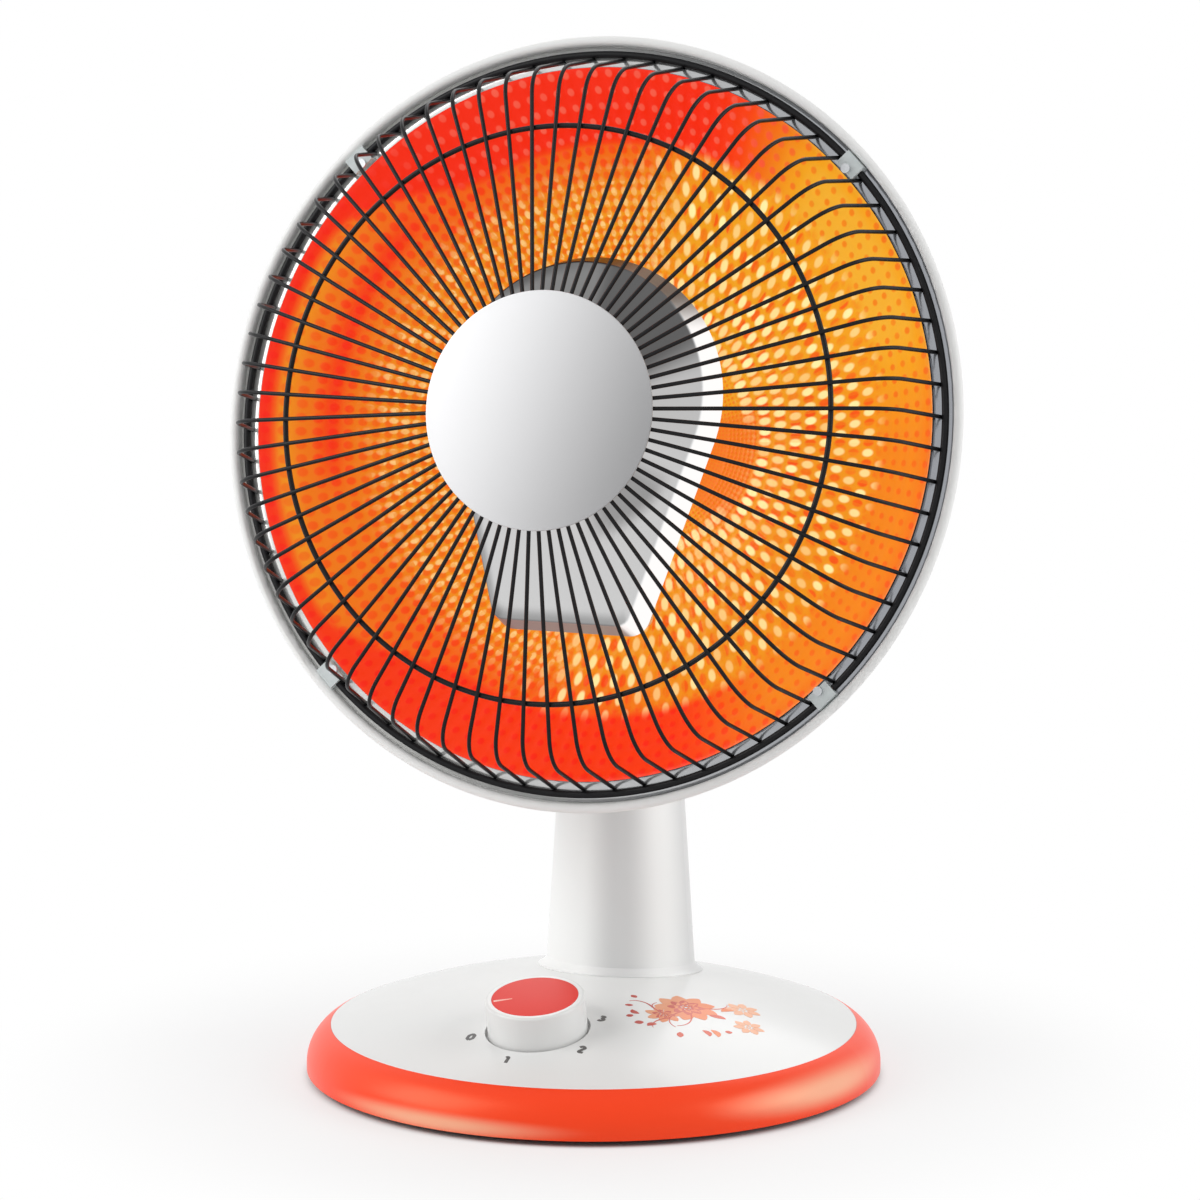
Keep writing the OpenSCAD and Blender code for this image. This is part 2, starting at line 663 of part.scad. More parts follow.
lug_pad_t = 4;
lug_pad_w = 52;
lug_pad_h = 46;
lug_screw_r = 1.55;
lug_screws_a = asin(18 / ball_r); // angles of the lug's screws up and down the shell, and aside
lug_screws_b = asin(18.8 / ball_r);

module at_lug_screws() at_head() for (a = [-1, 1]) for (b = [-1, 1])
    at_shell(lug_angle + a * lug_screws_a, b * lug_screws_b) children();

// Lug of the tilt hinge with its pad on the back of the shell
module hinge_lug() color(white) difference() {
    union() {
        translate([-lug_half, 0, 0]) rotate([90, 0, 90]) linear_extrude(2 * lug_half) {
            translate([hinge_y, hinge_z]) circle(r = hinge_r);
            polygon([[hinge_y - hinge_r, hinge_z], [hinge_y + hinge_r, hinge_z],
                [hinge_y + 1.7 * hinge_r, hinge_z + 5 * hinge_r], [hinge_y - 1.7 * hinge_r, hinge_z + 3.3 * hinge_r]]);
        }
        at_head() intersection() {
            translate([0, 0, ball_z]) sphere(r = ball_r + lug_pad_t, $fn = 240);
            at_shell(lug_angle, 0) translate([-lug_pad_w / 2, -lug_pad_h / 2, -30]) cube([lug_pad_w, lug_pad_h, 60]);
        }
    }
    at_head() translate([0, 0, ball_z]) sphere(r = ball_r + 2 * seat_gap, $fn = 240);
    at_lug_screws() translate([0, 0, -lug_pad_t - 1]) cylinder(r = lug_screw_r + fit_gap, h = lug_pad_h, $fn = 32);
    translate([-2 * cheek_out, hinge_y, hinge_z]) rotate([0, 90, 0])
        cylinder(r = hinge_bolt_r + fit_gap, h = 4 * cheek_out);
}

module lug_screws() color(steel) at_lug_screws() translate([0, 0, shell_wall + 0.15])
    pan_screw(lug_screw_r, lug_pad_t + shell_wall - 0.5);

vent_count = 28;
vent_from = 22; // angle from the dish's axis at which the cooling slots begin
vent_to = 30;
cover_screw_at = 45;
cover_screw_r = 1.45;

module rear_shell() color(white) at_head() difference() {
    union() {
        intersection() {
            difference() {
                translate([0, 0, ball_z]) sphere(r = ball_r, $fn = 180);
                translate([0, 0, ball_z]) sphere(r = ball_r - shell_wall, $fn = 180);
            }
            translate([0, 0, -shell_depth]) cylinder(r = head_r + 1, h = shell_depth + shell_edge_z + eps);
        }
        // flat back with the opening under the cover
        translate([0, 0, -shell_depth]) cylinder(r = shell_rear_r, h = shell_wall);
        ring_at(cover_screw_at, 3, 90) translate([0, 0, -shell_depth]) cylinder(r = 4, h = 8, $fn = 32);
        // rolled rim and the ledge that carries the reflector and the guard
        rotate_extrude($fn = 180) {
            difference() {
                polygon([[head_r - rim_width, shell_edge_z], [edge_r, shell_edge_z],
                    [head_r, rim_front - rim_width / 2], [head_r, rim_front], [head_r - rim_width, rim_front]]);
                translate([head_r - rim_width / 2, rim_front - rim_width / 2]) difference() {
                    translate([-rim_width, 0]) square([2 * rim_width, rim_width]);
                    circle(r = rim_width / 2, $fn = 48);
                }
            }
            translate([dish_r + 1, shell_edge_z]) square([head_r - rim_width - dish_r, ledge_t]);
        }
    }
    translate([0, 0, -shell_depth - 1]) cylinder(r = shell_open_r, h = 10);
    ring_at(cover_screw_at, 3, 90) translate([0, 0, -shell_depth - 1])
        cylinder(r = cover_screw_r + fit_gap, h = 8, $fn = 32);
    for (a = [-1, 1]) for (b = [-1, 1]) at_shell(lug_angle + a * lug_screws_a, b * lug_screws_b)
        translate([0, 0, -1]) cylinder(r = lug_screw_r + slip_gap, h = 3 * shell_wall, $fn = 32);
    // cooling slots round the back, none under the hinge's pad
    for (i = [4 : vent_count - 4]) rotate(-90 + i * 360 / vent_count) for (a = [vent_from, vent_to])
        rotate([0, 0, 90]) at_shell(a, 0) translate([-1.6, -10, -4]) cube([3.2, 20, 10]);
    ring_at(clip_screw_at, 4, clip_phase) translate([0, 0, shell_edge_z - 1]) cylinder(r = 1, h = 10, $fn = 32);
}

cover_r = 55;
cover_depth = 11;
cover_wall = 2;

module rear_cover() color(white) at_head() translate([0, 0, -shell_depth]) mirror([0, 0, 1]) difference() {
    rotate_extrude() difference() {
        union() {
            square([cover_r, cover_depth - 6]);
            square([cover_r - 6, cover_depth]);
            translate([cover_r - 6, cover_depth - 6]) circle(r = 6);
        }
        translate([0, -1]) square([cover_r - cover_wall, cover_depth - 6 + 1]);
        translate([0, -1]) square([cover_r - 6, cover_depth - cover_wall + 1]);
        translate([cover_r - 6, cover_depth - 6]) circle(r = 6 - cover_wall);
    }
    for (i = [-3 : 3]) translate([i * 7 - 1.5, -22 + abs(i) * 2, 0]) cube([3, 44 - abs(i) * 4, 2 * cover_depth]);
    ring_at(cover_screw_at, 3, 90) cylinder(r = cover_screw_r + 0.4, h = 2 * cover_depth, $fn = 32);
}

module cover_screws() color(steel) at_head() ring_at(cover_screw_at, 3, 90)
    translate([0, 0, -shell_depth - cover_depth - fit_gap]) mirror([0, 0, 1])
        pan_screw(cover_screw_r, cover_depth + 5.5);

module head_terminals() color([0.92, 0.9, 0.85]) at_head() translate([-17, -26, -shell_depth + shell_wall]) difference() {
    translate([0, -14, 0]) cube([34, 12, 8]);
    for (i = [0 : 2]) translate([6 + i * 11, -8, -1]) cylinder(r = 2.2, h = 6, $fn = 32);
}

// ---------------------------------------------------------------- reflector

lead_y = -86;
post_top = [12, shield_rise + 18];
post_low = [0, -60];
post_r = 2.5;
dish_steps = 20;

function post_places() = [post_top, [-post_top[0], post_top[1]], post_low];

module reflector() color([0.85, 0.82, 0.78]) at_head() difference() {
    rotate_extrude($fn = 180) polygon([
        for (i = [0 : dish_steps]) let (r = dish_r * i / dish_steps) [r, dish_z(r) + 0.5 * i / dish_steps],
        [dish_r + 0.7, 0.5], [dish_r + 0.8, flange_z], [flange_r, flange_z],
        [flange_r, flange_z - dish_wall], [dish_r + 0.2, flange_z - dish_wall],
        for (i = [dish_steps : -1 : 0]) let (r = dish_r * i / dish_steps)
            [r, dish_z(r) + 0.5 * i / dish_steps - dish_wall * norm([1, dish_slope(r)])]]);
    for (p = post_places()) translate([p[0], p[1], -dish_depth]) cylinder(r = 1.3, h = dish_depth, $fn = 32);
    for (side = [-1, 1]) translate([side * tube_leg_x, lead_y, -dish_depth - 5]) cylinder(r = 3.6, h = dish_depth, $fn = 32);
    ring_at(clip_screw_at, 4, clip_phase) translate([0, 0, shell_edge_z - 1]) cylinder(r = 1.05, h = 10, $fn = 32);
}

// Everything behind the dish's polished face
module behind_dish() rotate_extrude($fn = 180) polygon([[0, -dish_depth - 20],
    for (i = [0 : dish_steps]) let (r = dish_r * i / dish_steps) [r, dish_z(r) + 0.5 * i / dish_steps],
    [dish_r, -dish_depth - 20]]);

module thermal_cutout() color(steel) at_head() {
    translate([0, 0, -dish_depth - dish_wall - 8.2]) cylinder(r = 8, h = 8);
    for (side = [-1, 1]) translate([side * 4 - 1.5, -12, -dish_depth - dish_wall - 6]) cube([3, 6, 0.8]);
}

module lead_bushes() color([0.95, 0.94, 0.9]) at_head() for (side = [-1, 1]) {
    z = dish_z(norm([tube_leg_x, lead_y]));
    translate([side * tube_leg_x, lead_y, 0]) difference() {
        union() {
            translate([0, 0, z - 9]) cylinder(r = 3.5, h = 16, $fn = 32);
            translate([0, 0, z + 5]) cylinder(r = 5.5, h = 3, $fn = 32);
        }
        translate([0, 0, z - 20]) cylinder(r = 2.1, h = 40, $fn = 32);
    }
}

sleeve_low = dish_z(norm([tube_leg_x, lead_y])) - 16;

module lead_sleeves() color([0.9, 0.9, 0.86]) at_head() for (side = [-1, 1])
    translate([side * tube_leg_x, lead_y, sleeve_low]) cylinder(r = 2, h = end_low - sleeve_low, $fn = 32);

// ---------------------------------------------------------------- shield and heating tube

tube_z = 8;
tube_bend_r = 14;
tube_end_y = -80;
loop_end = acos((tube_leg_x + tube_bend_r) / (tube_loop_r + tube_bend_r));
leg_top_y = shield_rise - (tube_loop_r + tube_bend_r) * sin(loop_end);
end_low = 0.5;
end_len = 14;

// Angle of the outward normal where a straight side meets both the round end and the bottom corner
corner_off = [shield_corner_x, -shield_drop + shield_corner_r - shield_rise];
side_normal = atan2(corner_off[1], corner_off[0]) + acos((shield_r - shield_corner_r) / norm(corner_off));

// Keyhole-shaped block, h high, with its sides moved inwards by t
module keyhole(t, h) {
    m = [cos(side_normal), sin(side_normal)];
    top = [0, shield_rise] + (shield_r - t - bite) * m;
    low = [shield_corner_x, -shield_drop + shield_corner_r] + (shield_corner_r - t - bite) * m;
    floor_y = -shield_drop + t + bite;
    translate([0, shield_rise, 0]) cylinder(r = shield_r - t, h = h, $fn = 180);
    for (side = [-1, 1]) translate([side * shield_corner_x, -shield_drop + shield_corner_r, 0])
        cylinder(r = shield_corner_r - t, h = h, $fn = 48);
    linear_extrude(h)
        polygon([top, low, [shield_corner_x, floor_y], [-shield_corner_x, floor_y], [-low[0], low[1]], [-top[0], top[1]]]);
}

// Polished pan that hides the heating tube from the front
module shield() color([0.8, 0.8, 0.82]) at_head() difference() {
    translate([0, 0, shield_front - shield_depth]) keyhole(0, shield_depth);
    translate([0, 0, shield_front - shield_depth - 1]) keyhole(shield_wall, shield_depth - shield_wall + 1);
}

module shield_posts() color(steel) at_head() for (p = post_places()) difference() {
    z = dish_z(norm(p));
    union() {
        translate([p[0], p[1], z - 8]) cylinder(r = post_r, h = shield_front - shield_wall - z + 8, $fn = 32);
        translate([p[0], p[1], z - 8]) cylinder(r = 5, h = 12, $fn = 32);
    }
    translate([0, 0, 2 * seat_gap]) behind_dish();
}

// Path of the heating tube: a loop, two return bends and two straight legs
module tube_path(r, leg) translate([0, 0, tube_z]) {
    translate([0, shield_rise, 0]) rotate(-loop_end - lap)
        rotate_extrude(angle = 180 + 2 * (loop_end + lap)) translate([tube_loop_r, 0]) circle(r = r, $fn = 48);
    for (side = [0, 1]) mirror([side, 0, 0]) {
        translate([tube_leg_x + tube_bend_r, leg_top_y, 0]) rotate(180 - loop_end)
            rotate_extrude(angle = loop_end) translate([tube_bend_r, 0]) circle(r = r + bite, $fn = 48);
        translate([tube_leg_x, leg, 0]) rotate([-90, 0, 0]) cylinder(r = r, h = leg_top_y - leg + lap, $fn = 48);
    }
}

module heating_tube() color([0.9, 0.75, 0.6]) at_head() difference() {
    tube_path(tube_d / 2, tube_end_y);
    tube_path(tube_d / 2 - tube_wall, tube_end_y - 1);
}

module filament() color([1, 0.5, 0.1]) at_head() tube_path(filament_d / 2, tube_end_y - 4);

// Ceramic end blocks of the tube, seated on the inside of the shield's face
module tube_ends() color([0.95, 0.94, 0.9]) at_head() for (side = [-1, 1]) translate([side * tube_leg_x, 0, 0])
    difference() {
        translate([-7.5, tube_end_y - end_len + 4, end_low])
            cube([15, end_len, shield_front - shield_wall - end_low]);
        translate([0, tube_end_y - seat_gap, tube_z]) rotate([-90, 0, 0]) cylinder(r = tube_d / 2 + 0.05, h = 20);
        translate([0, tube_end_y - 4.2, tube_z]) rotate([-90, 0, 0]) cylinder(r = filament_d / 2 + 0.1, h = 20);
    }

// Spring clips that hold the loop against the shield
module tube_clips() color(steel) at_head() for (a = [20, 90, 160])
    translate([0, shield_rise, tube_z]) rotate(a) translate([tube_loop_r, 0, 0]) difference() {
        union() {
            rotate([90, 0, 0]) translate([0, 0, -3]) cylinder(r = tube_d / 2 + 1.5, h = 6, $fn = 48);
            translate([-4, -3, 0]) cube([8, 6, shield_front - shield_wall - tube_z]);
        }
        translate([-tube_loop_r, 0, 0]) rotate(-10) rotate_extrude(angle = 20)
            translate([tube_loop_r, 0]) circle(r = tube_d / 2 + seat_gap, $fn = 48);
    }

// ---------------------------------------------------------------- guard

wire_slope = (wire_front - wire_mid) / (mid_ring_r - disc_r);
side_lean = 0.215;
rim_wire_r = rim_ring_r - (rim_ring_d + wire_d) / 2 - seat_gap; // the wires end inside the rim ring
wire_end_z = -1.2;
hub_ring_r = disc_r - 4;
corner_r = (rim_wire_r - side_lean * (wire_front + wire_slope * disc_r)) / (1 - wire_slope * side_lean);
wire_corner = [corner_r, wire_z(corner_r)];
front_dir = [-1, wire_slope] / norm([1, wire_slope]);
side_dir = [side_lean, -1] / norm([side_lean, 1]);
bend_angle = acos(-(front_dir * side_dir));
bend_cut = wire_bend_r * tan(bend_angle / 2);
clip_screw_at = rim_ring_r - 3.1;
clip_phase = wire_phase + 42.5;
clip_screw_r = 0.98;

function wire_z(r) = wire_front - wire_slope * (r - disc_r);

// Height of an inner ring welded under the wires at radius r
function ring_drop(r) = wire_z(r) - ((wire_d + inner_ring_d) / 2 + seat_gap) / cos(atan(wire_slope));

// Straight round bar between two places of the cross-section
module bar(from, to, d) {
    run = to - from;
    translate([from[0], 0, from[1]]) rotate([0, atan2(run[0], run[1]), 0]) cylinder(d = d, h = norm(run), $fn = 24);
}

module guard_wire() {
    front_end = wire_corner + bend_cut * front_dir;
    side_end = wire_corner + bend_cut * side_dir;
    centre = front_end - wire_bend_r * [wire_slope, 1] / norm([wire_slope, 1]);
    bar([hub_ring_r - 1.5, wire_z(hub_ring_r - 1.5)], front_end - lap * front_dir, wire_d);
    translate([centre[0], 0, centre[1]]) rotate([90, 0, 0]) rotate(atan(side_lean))
        rotate_extrude(angle = bend_angle) translate([wire_bend_r, 0]) circle(d = wire_d + 2 * bite, $fn = 24);
    bar([rim_wire_r - side_lean * wire_end_z, wire_end_z], side_end - lap * side_dir, wire_d);
}

module guard_wires() color([0.08, 0.08, 0.08]) at_head()
    ring_at(0, wire_count, wire_phase) guard_wire();

module guard_ring(radius, z, d) rotate_extrude($fn = 180) translate([radius, z]) circle(d = d, $fn = 24);

// Rings welded inside the wires
module guard_rings() color([0.08, 0.08, 0.08]) at_head() {
    guard_ring(rim_ring_r, 0, rim_ring_d);
    guard_ring(mid_ring_r, ring_drop(mid_ring_r), inner_ring_d);
    guard_ring(hub_ring_r, ring_drop(hub_ring_r), inner_ring_d);
}

// Crowned disc over the wires' inner ends, with a stud and plate that clamp them
module guard_disc() color([0.8, 0.8, 0.8]) at_head() {
    t = 0.8;
    low = wire_z(hub_ring_r - 1.5) + wire_d / 2 + 0.05;
    rotate_extrude($fn = 180) polygon(concat([[0, low], [disc_r - 0.4, low], [disc_r, low + 0.4]],
        crown(disc_r - 0.2, disc_crown, low + t)));
    plate = ring_drop(hub_ring_r) - inner_ring_d / 2 - seat_gap - 1.2;
    translate([0, 0, plate]) cylinder(r = 3, h = low - plate + eps, $fn = 48);
    translate([0, 0, plate]) cylinder(r = hub_ring_r + 1.6, h = 1.2);
}

// Saddles over the rim ring that hold the guard to the shell
module guard_clips() color([0.85, 0.88, 0.88]) at_head() ring_at(0, 4, clip_phase) difference() {
    low = flange_z + seat_gap;
    translate([clip_screw_at - 1.45, -5.5, low]) cube([flange_r - clip_screw_at + 1.35, 11, rim_ring_d / 2 + 1.6 - low]);
    rotate(-5) rotate_extrude(angle = 10, $fn = 180) {
        translate([rim_ring_r, 0]) circle(r = rim_ring_d / 2 + fit_gap, $fn = 32);
        translate([rim_ring_r - rim_ring_d / 2 - seat_gap, -rim_ring_d]) square([rim_ring_d + 2 * seat_gap, rim_ring_d]);
    }
    translate([clip_screw_at, 0, low - 1]) cylinder(r = 1.02, h = 10, $fn = 32);
}

module clip_screws() color(steel) at_head() ring_at(clip_screw_at, 4, clip_phase)
    translate([0, 0, rim_ring_d / 2 + 1.6]) pan_screw(clip_screw_r, rim_ring_d / 2 + 1.6 - shell_edge_z + 1);

base_top();
base_skirt();
base_plate();
rubber_feet();
plate_screws();
counterweight();
cord_grommet();
terminal_block();
tip_switch();
tip_plunger();
rotary_switch();
switch_nut();
switch_shaft();
knob();
knob_cap();
column();
column_screws();
swivel_bush();
swing_motor();
motor_screws();
motor_shaft();
turret();
retaining_clip();
tilt_bolt();
tilt_nut();
tilt_washers();
hinge_lug();
lug_screws();
rear_shell();
rear_cover();
cover_screws();
head_terminals();
reflector();
thermal_cutout();
lead_bushes();
lead_sleeves();
shield();
shield_posts();
heating_tube();
filament();
tube_ends();
tube_clips();
guard_wires();
guard_rings();
guard_disc();
guard_clips();
clip_screws();
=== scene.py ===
"""Looks of a parabolic radiant heater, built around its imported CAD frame.

Lengths in the classes are in millimetres, as a drawing gives them. Everything in Blender is in metres.
"""

import json
import logging
from dataclasses import dataclass
from enum import Enum
from typing import Any, Callable, Optional, Sequence, Union

import bmesh
import bpy
import numpy as np
from mathutils import Matrix

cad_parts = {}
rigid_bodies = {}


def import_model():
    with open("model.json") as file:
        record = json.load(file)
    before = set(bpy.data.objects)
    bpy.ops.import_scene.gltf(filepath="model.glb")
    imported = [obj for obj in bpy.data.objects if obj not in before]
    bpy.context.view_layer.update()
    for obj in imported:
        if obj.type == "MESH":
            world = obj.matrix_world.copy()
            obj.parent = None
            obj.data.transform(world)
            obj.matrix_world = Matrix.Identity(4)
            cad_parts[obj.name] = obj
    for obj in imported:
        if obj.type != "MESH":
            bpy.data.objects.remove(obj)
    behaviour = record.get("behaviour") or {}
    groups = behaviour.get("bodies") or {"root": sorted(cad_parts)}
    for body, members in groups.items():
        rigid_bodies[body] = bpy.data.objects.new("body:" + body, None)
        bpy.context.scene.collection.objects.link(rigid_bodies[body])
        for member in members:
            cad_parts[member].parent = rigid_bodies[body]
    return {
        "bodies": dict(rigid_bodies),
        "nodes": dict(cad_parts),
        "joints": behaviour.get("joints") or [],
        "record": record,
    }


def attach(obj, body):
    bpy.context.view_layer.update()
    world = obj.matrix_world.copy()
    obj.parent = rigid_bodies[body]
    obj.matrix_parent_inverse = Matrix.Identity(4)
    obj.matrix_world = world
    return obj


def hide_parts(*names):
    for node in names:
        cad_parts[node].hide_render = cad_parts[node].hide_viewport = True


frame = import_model()

LOG = logging.getLogger("heater")
MM = 0.001
TAU = 2 * np.pi
Number = Union[float, "Value"]
Colour = tuple[float, float, float]
Span = tuple[float, float]


def smooth(low: float, high: float, x: np.ndarray) -> np.ndarray:
    """Smooth step: 0 below low, 1 above high, and 3t^2 - 2t^3 between them."""
    t = np.clip((x - low) / (high - low), 0, 1)
    return t * t * (3 - 2 * t)


def linear(colour: np.ndarray) -> np.ndarray:
    """Linear light of display colours: the sRGB curve's power part, with its straight foot."""
    c = np.asarray(colour, float)
    return np.where(c <= 0.04045, c / 12.92, ((np.maximum(c, 0) + 0.055) / 1.055) ** 2.4)


def shade(*display: float) -> Colour:
    """One linear colour from display values between 0 and 1."""
    return tuple(float(v) for v in linear(np.array(display)))


@dataclass(frozen=True)
class Zone:
    """A soft-edged zone of a round face, and what it adds there to some quantity.

    Attributes:
        gain: what it adds at full strength.
        middle: angle of its middle in degrees, anticlockwise from the right as seen from the front.
        half: half its width in degrees; 180 is the whole circle.
        soft: degrees over which it fades beyond that.
        rise: radii over which it comes up.
        fall: radii over which it goes down.
        ring: radius and breadth of the ring that it keeps to.
    """

    gain: float
    middle: float = 0.0
    half: float = 180.0
    soft: float = 1.0
    rise: Optional[Span] = None
    fall: Optional[Span] = None
    ring: Optional[Span] = None

    def add(self, r: np.ndarray, degrees: np.ndarray) -> np.ndarray:
        """What the zone adds: its gain times the soft steps of angle and radius, and the bell of its ring.

        Args:
            r: radius of each point.
            degrees: its angle in degrees.

        Returns:
            What it adds at each point.
        """
        away = np.abs((degrees - self.middle + 180) % 360 - 180)
        share = self.gain * (1 - smooth(self.half, self.half + self.soft, away))
        if self.rise:
            share = share * smooth(*self.rise, r)
        if self.fall:
            share = share * (1 - smooth(*self.fall, r))
        if self.ring:
            share = share * np.exp(-((r - self.ring[0]) / self.ring[1]) ** 2)
        return share


# ---- shader graphs


def _operator(operation: str, reflected: bool = False) -> Callable[..., "Value"]:
    """Makes a method of Value that adds one Math node.

    Args:
        operation: the node's operation.
        reflected: the other operand comes first, as in Python's reflected operators.

    Returns:
        The method, which returns the node's result.
    """

    def method(self: "Value", *others: Number) -> "Value":
        """Adds the node, with this value and the others as its operands."""
        operands = (*others, self) if reflected else (self, *others)
        node = self.graph.node("Math", dict(enumerate(operands)), operation=operation)
        return Value(self.graph, node.outputs[0])

    return method


class Value:
    """A number that a socket carries. Python's operators on it add Math nodes."""

    def __init__(self, graph: "Graph", socket: bpy.types.NodeSocket) -> None:
        """Wraps one output socket of a graph."""
        self.graph = graph
        self.socket = socket

    __add__ = __radd__ = _operator("ADD")
    __sub__, __rsub__ = _operator("SUBTRACT"), _operator("SUBTRACT", True)
    __mul__ = __rmul__ = _operator("MULTIPLY")
    __truediv__, __rtruediv__ = _operator("DIVIDE"), _operator("DIVIDE", True)
    fract, floor, root = _operator("FRACT"), _operator("FLOOR"), _operator("SQRT")
    arctan2, larger = _operator("ARCTAN2"), _operator("MAXIMUM")

    def step(self, low: float, high: float) -> "Value":
        """Smooth step of this value from low to high."""
        node = self.graph.node("MapRange", {0: self, 1: low, 2: high}, interpolation_type="SMOOTHSTEP")
        return Value(self.graph, node.outputs[0])


class Graph:
    """The node graph of one new material or world."""

    def __init__(self, name: str, kind: str = "materials") -> None:
        """Starts an empty graph.

        Args:
            name: name of the new material or world.
            kind: the list of bpy.data that it goes to.
        """
        self.owner = getattr(bpy.data, kind).new(name)
        self.owner.use_nodes = True
        self.tree = self.owner.node_tree
        self.tree.nodes.clear()

    def node(self, kind: str, sockets: Optional[dict[Union[int, str], Any]] = None,
             **settings: Any) -> bpy.types.Node:
        """Adds one node.

        Args:
            kind: the node's type, without "ShaderNode".
            sockets: numbers, colours, Values, sockets or nodes for its inputs, by name or place.
            settings: its own properties, which are set first.

        Returns:
            The new node.
        """
        made = self.tree.nodes.new("ShaderNode" + kind)
        for key, value in settings.items():
            setattr(made, key, value)
        for key, value in (sockets or {}).items():
            target = made.inputs[key]
            if isinstance(value, Value):
                value = value.socket
            elif isinstance(value, bpy.types.Node):
                value = value.outputs[0]
            if isinstance(value, bpy.types.NodeSocket):
                self.tree.links.new(value, target)
            elif isinstance(value, tuple) and len(value) == 3 and target.type == "RGBA":
                target.default_value = (*value, 1.0)
            else:
                target.default_value = value
        return made

    def value(self, node: bpy.types.Node, output: Union[int, str] = 0) -> Value:
        """One output of a node as a number."""
        return Value(self, node.outputs[output])

    def parts(self, vector: Any = None) -> list[Value]:
        """The three numbers of a vector, by default those of the object coordinates."""
        node = self.node("SeparateXYZ", {0: self.place() if vector is None else vector})
        return [self.value(node, k) for k in range(3)]

    def mix(self, factor: Number, a: Any, b: Any) -> bpy.types.NodeSocket:
        """Mixes two colours; factor 0 gives a, 1 gives b."""
        return self.node("Mix", {0: factor, 6: a, 7: b}, data_type="RGBA").outputs[2]

    def place(self, scale: Colour = (1, 1, 1)) -> bpy.types.NodeSocket:
        """Object coordinates, scaled."""
        source = self.node("TexCoord").outputs["Object"]
        return self.node("Mapping", {"Vector": source, "Scale": scale}).outputs[0]

    def noise(self, scale: float, detail: float = 2.0,
              where: Optional[bpy.types.NodeSocket] = None) -> Value:
        """Noise with so many features to the metre."""
        sockets = {"Vector": where or self.place(), "Scale": scale, "Detail": detail}
        return self.value(self.node("TexNoise", sockets))

    def bump(self, height: Value, millimetres: float, strength: float = 1.0) -> bpy.types.Node:
        """Bump of a height that runs from 0 to 1 over that many millimetres."""
        return self.node("Bump", {"Height": height, "Distance": millimetres * MM, "Strength": strength})

    def surface(self, sockets: dict[str, Any]) -> bpy.types.Material:
        """Ends the graph in a Principled surface with these sockets."""
        self.node("OutputMaterial", {"Surface": self.node("BsdfPrincipled", sockets)})
        return self.owner


# ---- finishes


class Finish:
    """A finish of a surface. Each kind says what its Principled surface's sockets carry."""

    def material(self, name: str) -> bpy.types.Material:
        """Builds the material of that name."""
        g = Graph(name)
        return g.surface(self.sockets(g))

    def sockets(self, g: Graph) -> dict[str, Any]:
        """Adds the finish's nodes.

        Args:
            g: the new material's graph.

        Returns:
            Numbers, colours, Values, sockets or nodes, by the name of the input that they go to.
        """
        raise NotImplementedError


@dataclass(frozen=True)
class Moulding(Finish):
    """Injection-moulded plastic: an even colour, faint flow marks and a fine skin.

    Attributes:
        colour: colour of the plastic.
        roughness: roughness before the faint marks of handling.
        coat: weight of the clear coat.
        shine: specular level.
        skin: depth of the skin's bump in millimetres.
        drift: share by which the flow marks darken the colour.
        tint: colour of the mirrored light.
    """

    colour: Colour
    roughness: float = 0.24
    coat: float = 0.15
    shine: float = 0.5
    skin: float = 0.002
    drift: float = 0.02
    tint: Colour = (1.0, 1.0, 1.0)

    def sockets(self, g: Graph) -> dict[str, Any]:
        """Flow marks in the colour, and the skin as bump."""
        flow = g.noise(14, 3)
        skin = g.noise(1500, 2)
        deep = tuple(c * (1 - self.drift) for c in self.colour)
        return {
            "Base Color": g.mix(flow, self.colour, deep),
            "Roughness": self.roughness + 0.04 * g.noise(60, 3),
            "Coat Weight": self.coat, "Coat Roughness": 0.12, "Specular IOR Level": self.shine,
            "Specular Tint": self.tint, "Normal": g.bump(skin, self.skin, 0.5)}


@dataclass(frozen=True)
class Glossed(Finish):
    """Polished moulding with painted light: broad soft patches in its base colour, paler ones as painted
    highlights and darker ones as painted shade.

    Attributes:
        colour: colour of the plastic.
        patch: colour of the patches.
        patches: azimuth from the front and its half width in degrees, height and its half width in millimetres.
        tint: colour of the mirrored light.
        axis_y: where the piece's upright axis stands, in millimetres.
        show: how much of the patch's colour shows at its middle.
    """

    colour: Colour
    patch: Colour
    patches: tuple[tuple[float, float, float, float], ...]
    tint: Colour
    axis_y: float = 0.0
    show: float = 0.8

    def sockets(self, g: Graph) -> dict[str, Any]:
        """The painted patches lie on the piece by azimuth and height, each fading as the root of its squares
        grows.
        """
        x, y, z = g.parts()
        azimuth = x.arctan2(self.axis_y * MM - y)
        colour: Any = self.colour
        # Each patch paints highlight or shade into the base colour.
        for middle, half, height, reach in self.patches:
            aside = (azimuth - float(np.radians(middle))) / float(np.radians(half))
            up = (z - height * MM) / (reach * MM)
            share = 1 - (aside * aside + up * up).root().step(0.1, 1.0)
            colour = g.mix(share * self.show, colour, self.patch)
        skin = g.noise(420, 2)
        return {
            "Base Color": colour, "Roughness": 0.32 + 0.04 * g.noise(60, 3), "Specular IOR Level": 0.8,
            "Specular Tint": self.tint, "Normal": g.bump(skin, 0.002, 0.5)}


@dataclass(frozen=True)
class Metal(Finish):
    """Bare metal: its tint, a polish that varies, and fine marks of that many millimetres."""

    colour: Colour
    roughness: float = 0.3
    metallic: float = 1.0
    marks: float = 0.02

    def sockets(self, g: Graph) -> dict[str, Any]:
        """Marks darken the colour, and clouds vary the polish."""
        marks = g.noise(900, 3)
        cloud = g.noise(40, 3)
        dull = tuple(c * 0.86 for c in self.colour)
        return {
            "Base Color": g.mix(marks.step(0.3, 0.8), self.colour, dull),
            "Metallic": self.metallic,
            "Roughness": self.roughness + 0.12 * (cloud - 0.5) + 0.08 * (marks - 0.5),
            "Normal": g.bump(marks, self.marks, 0.5)}


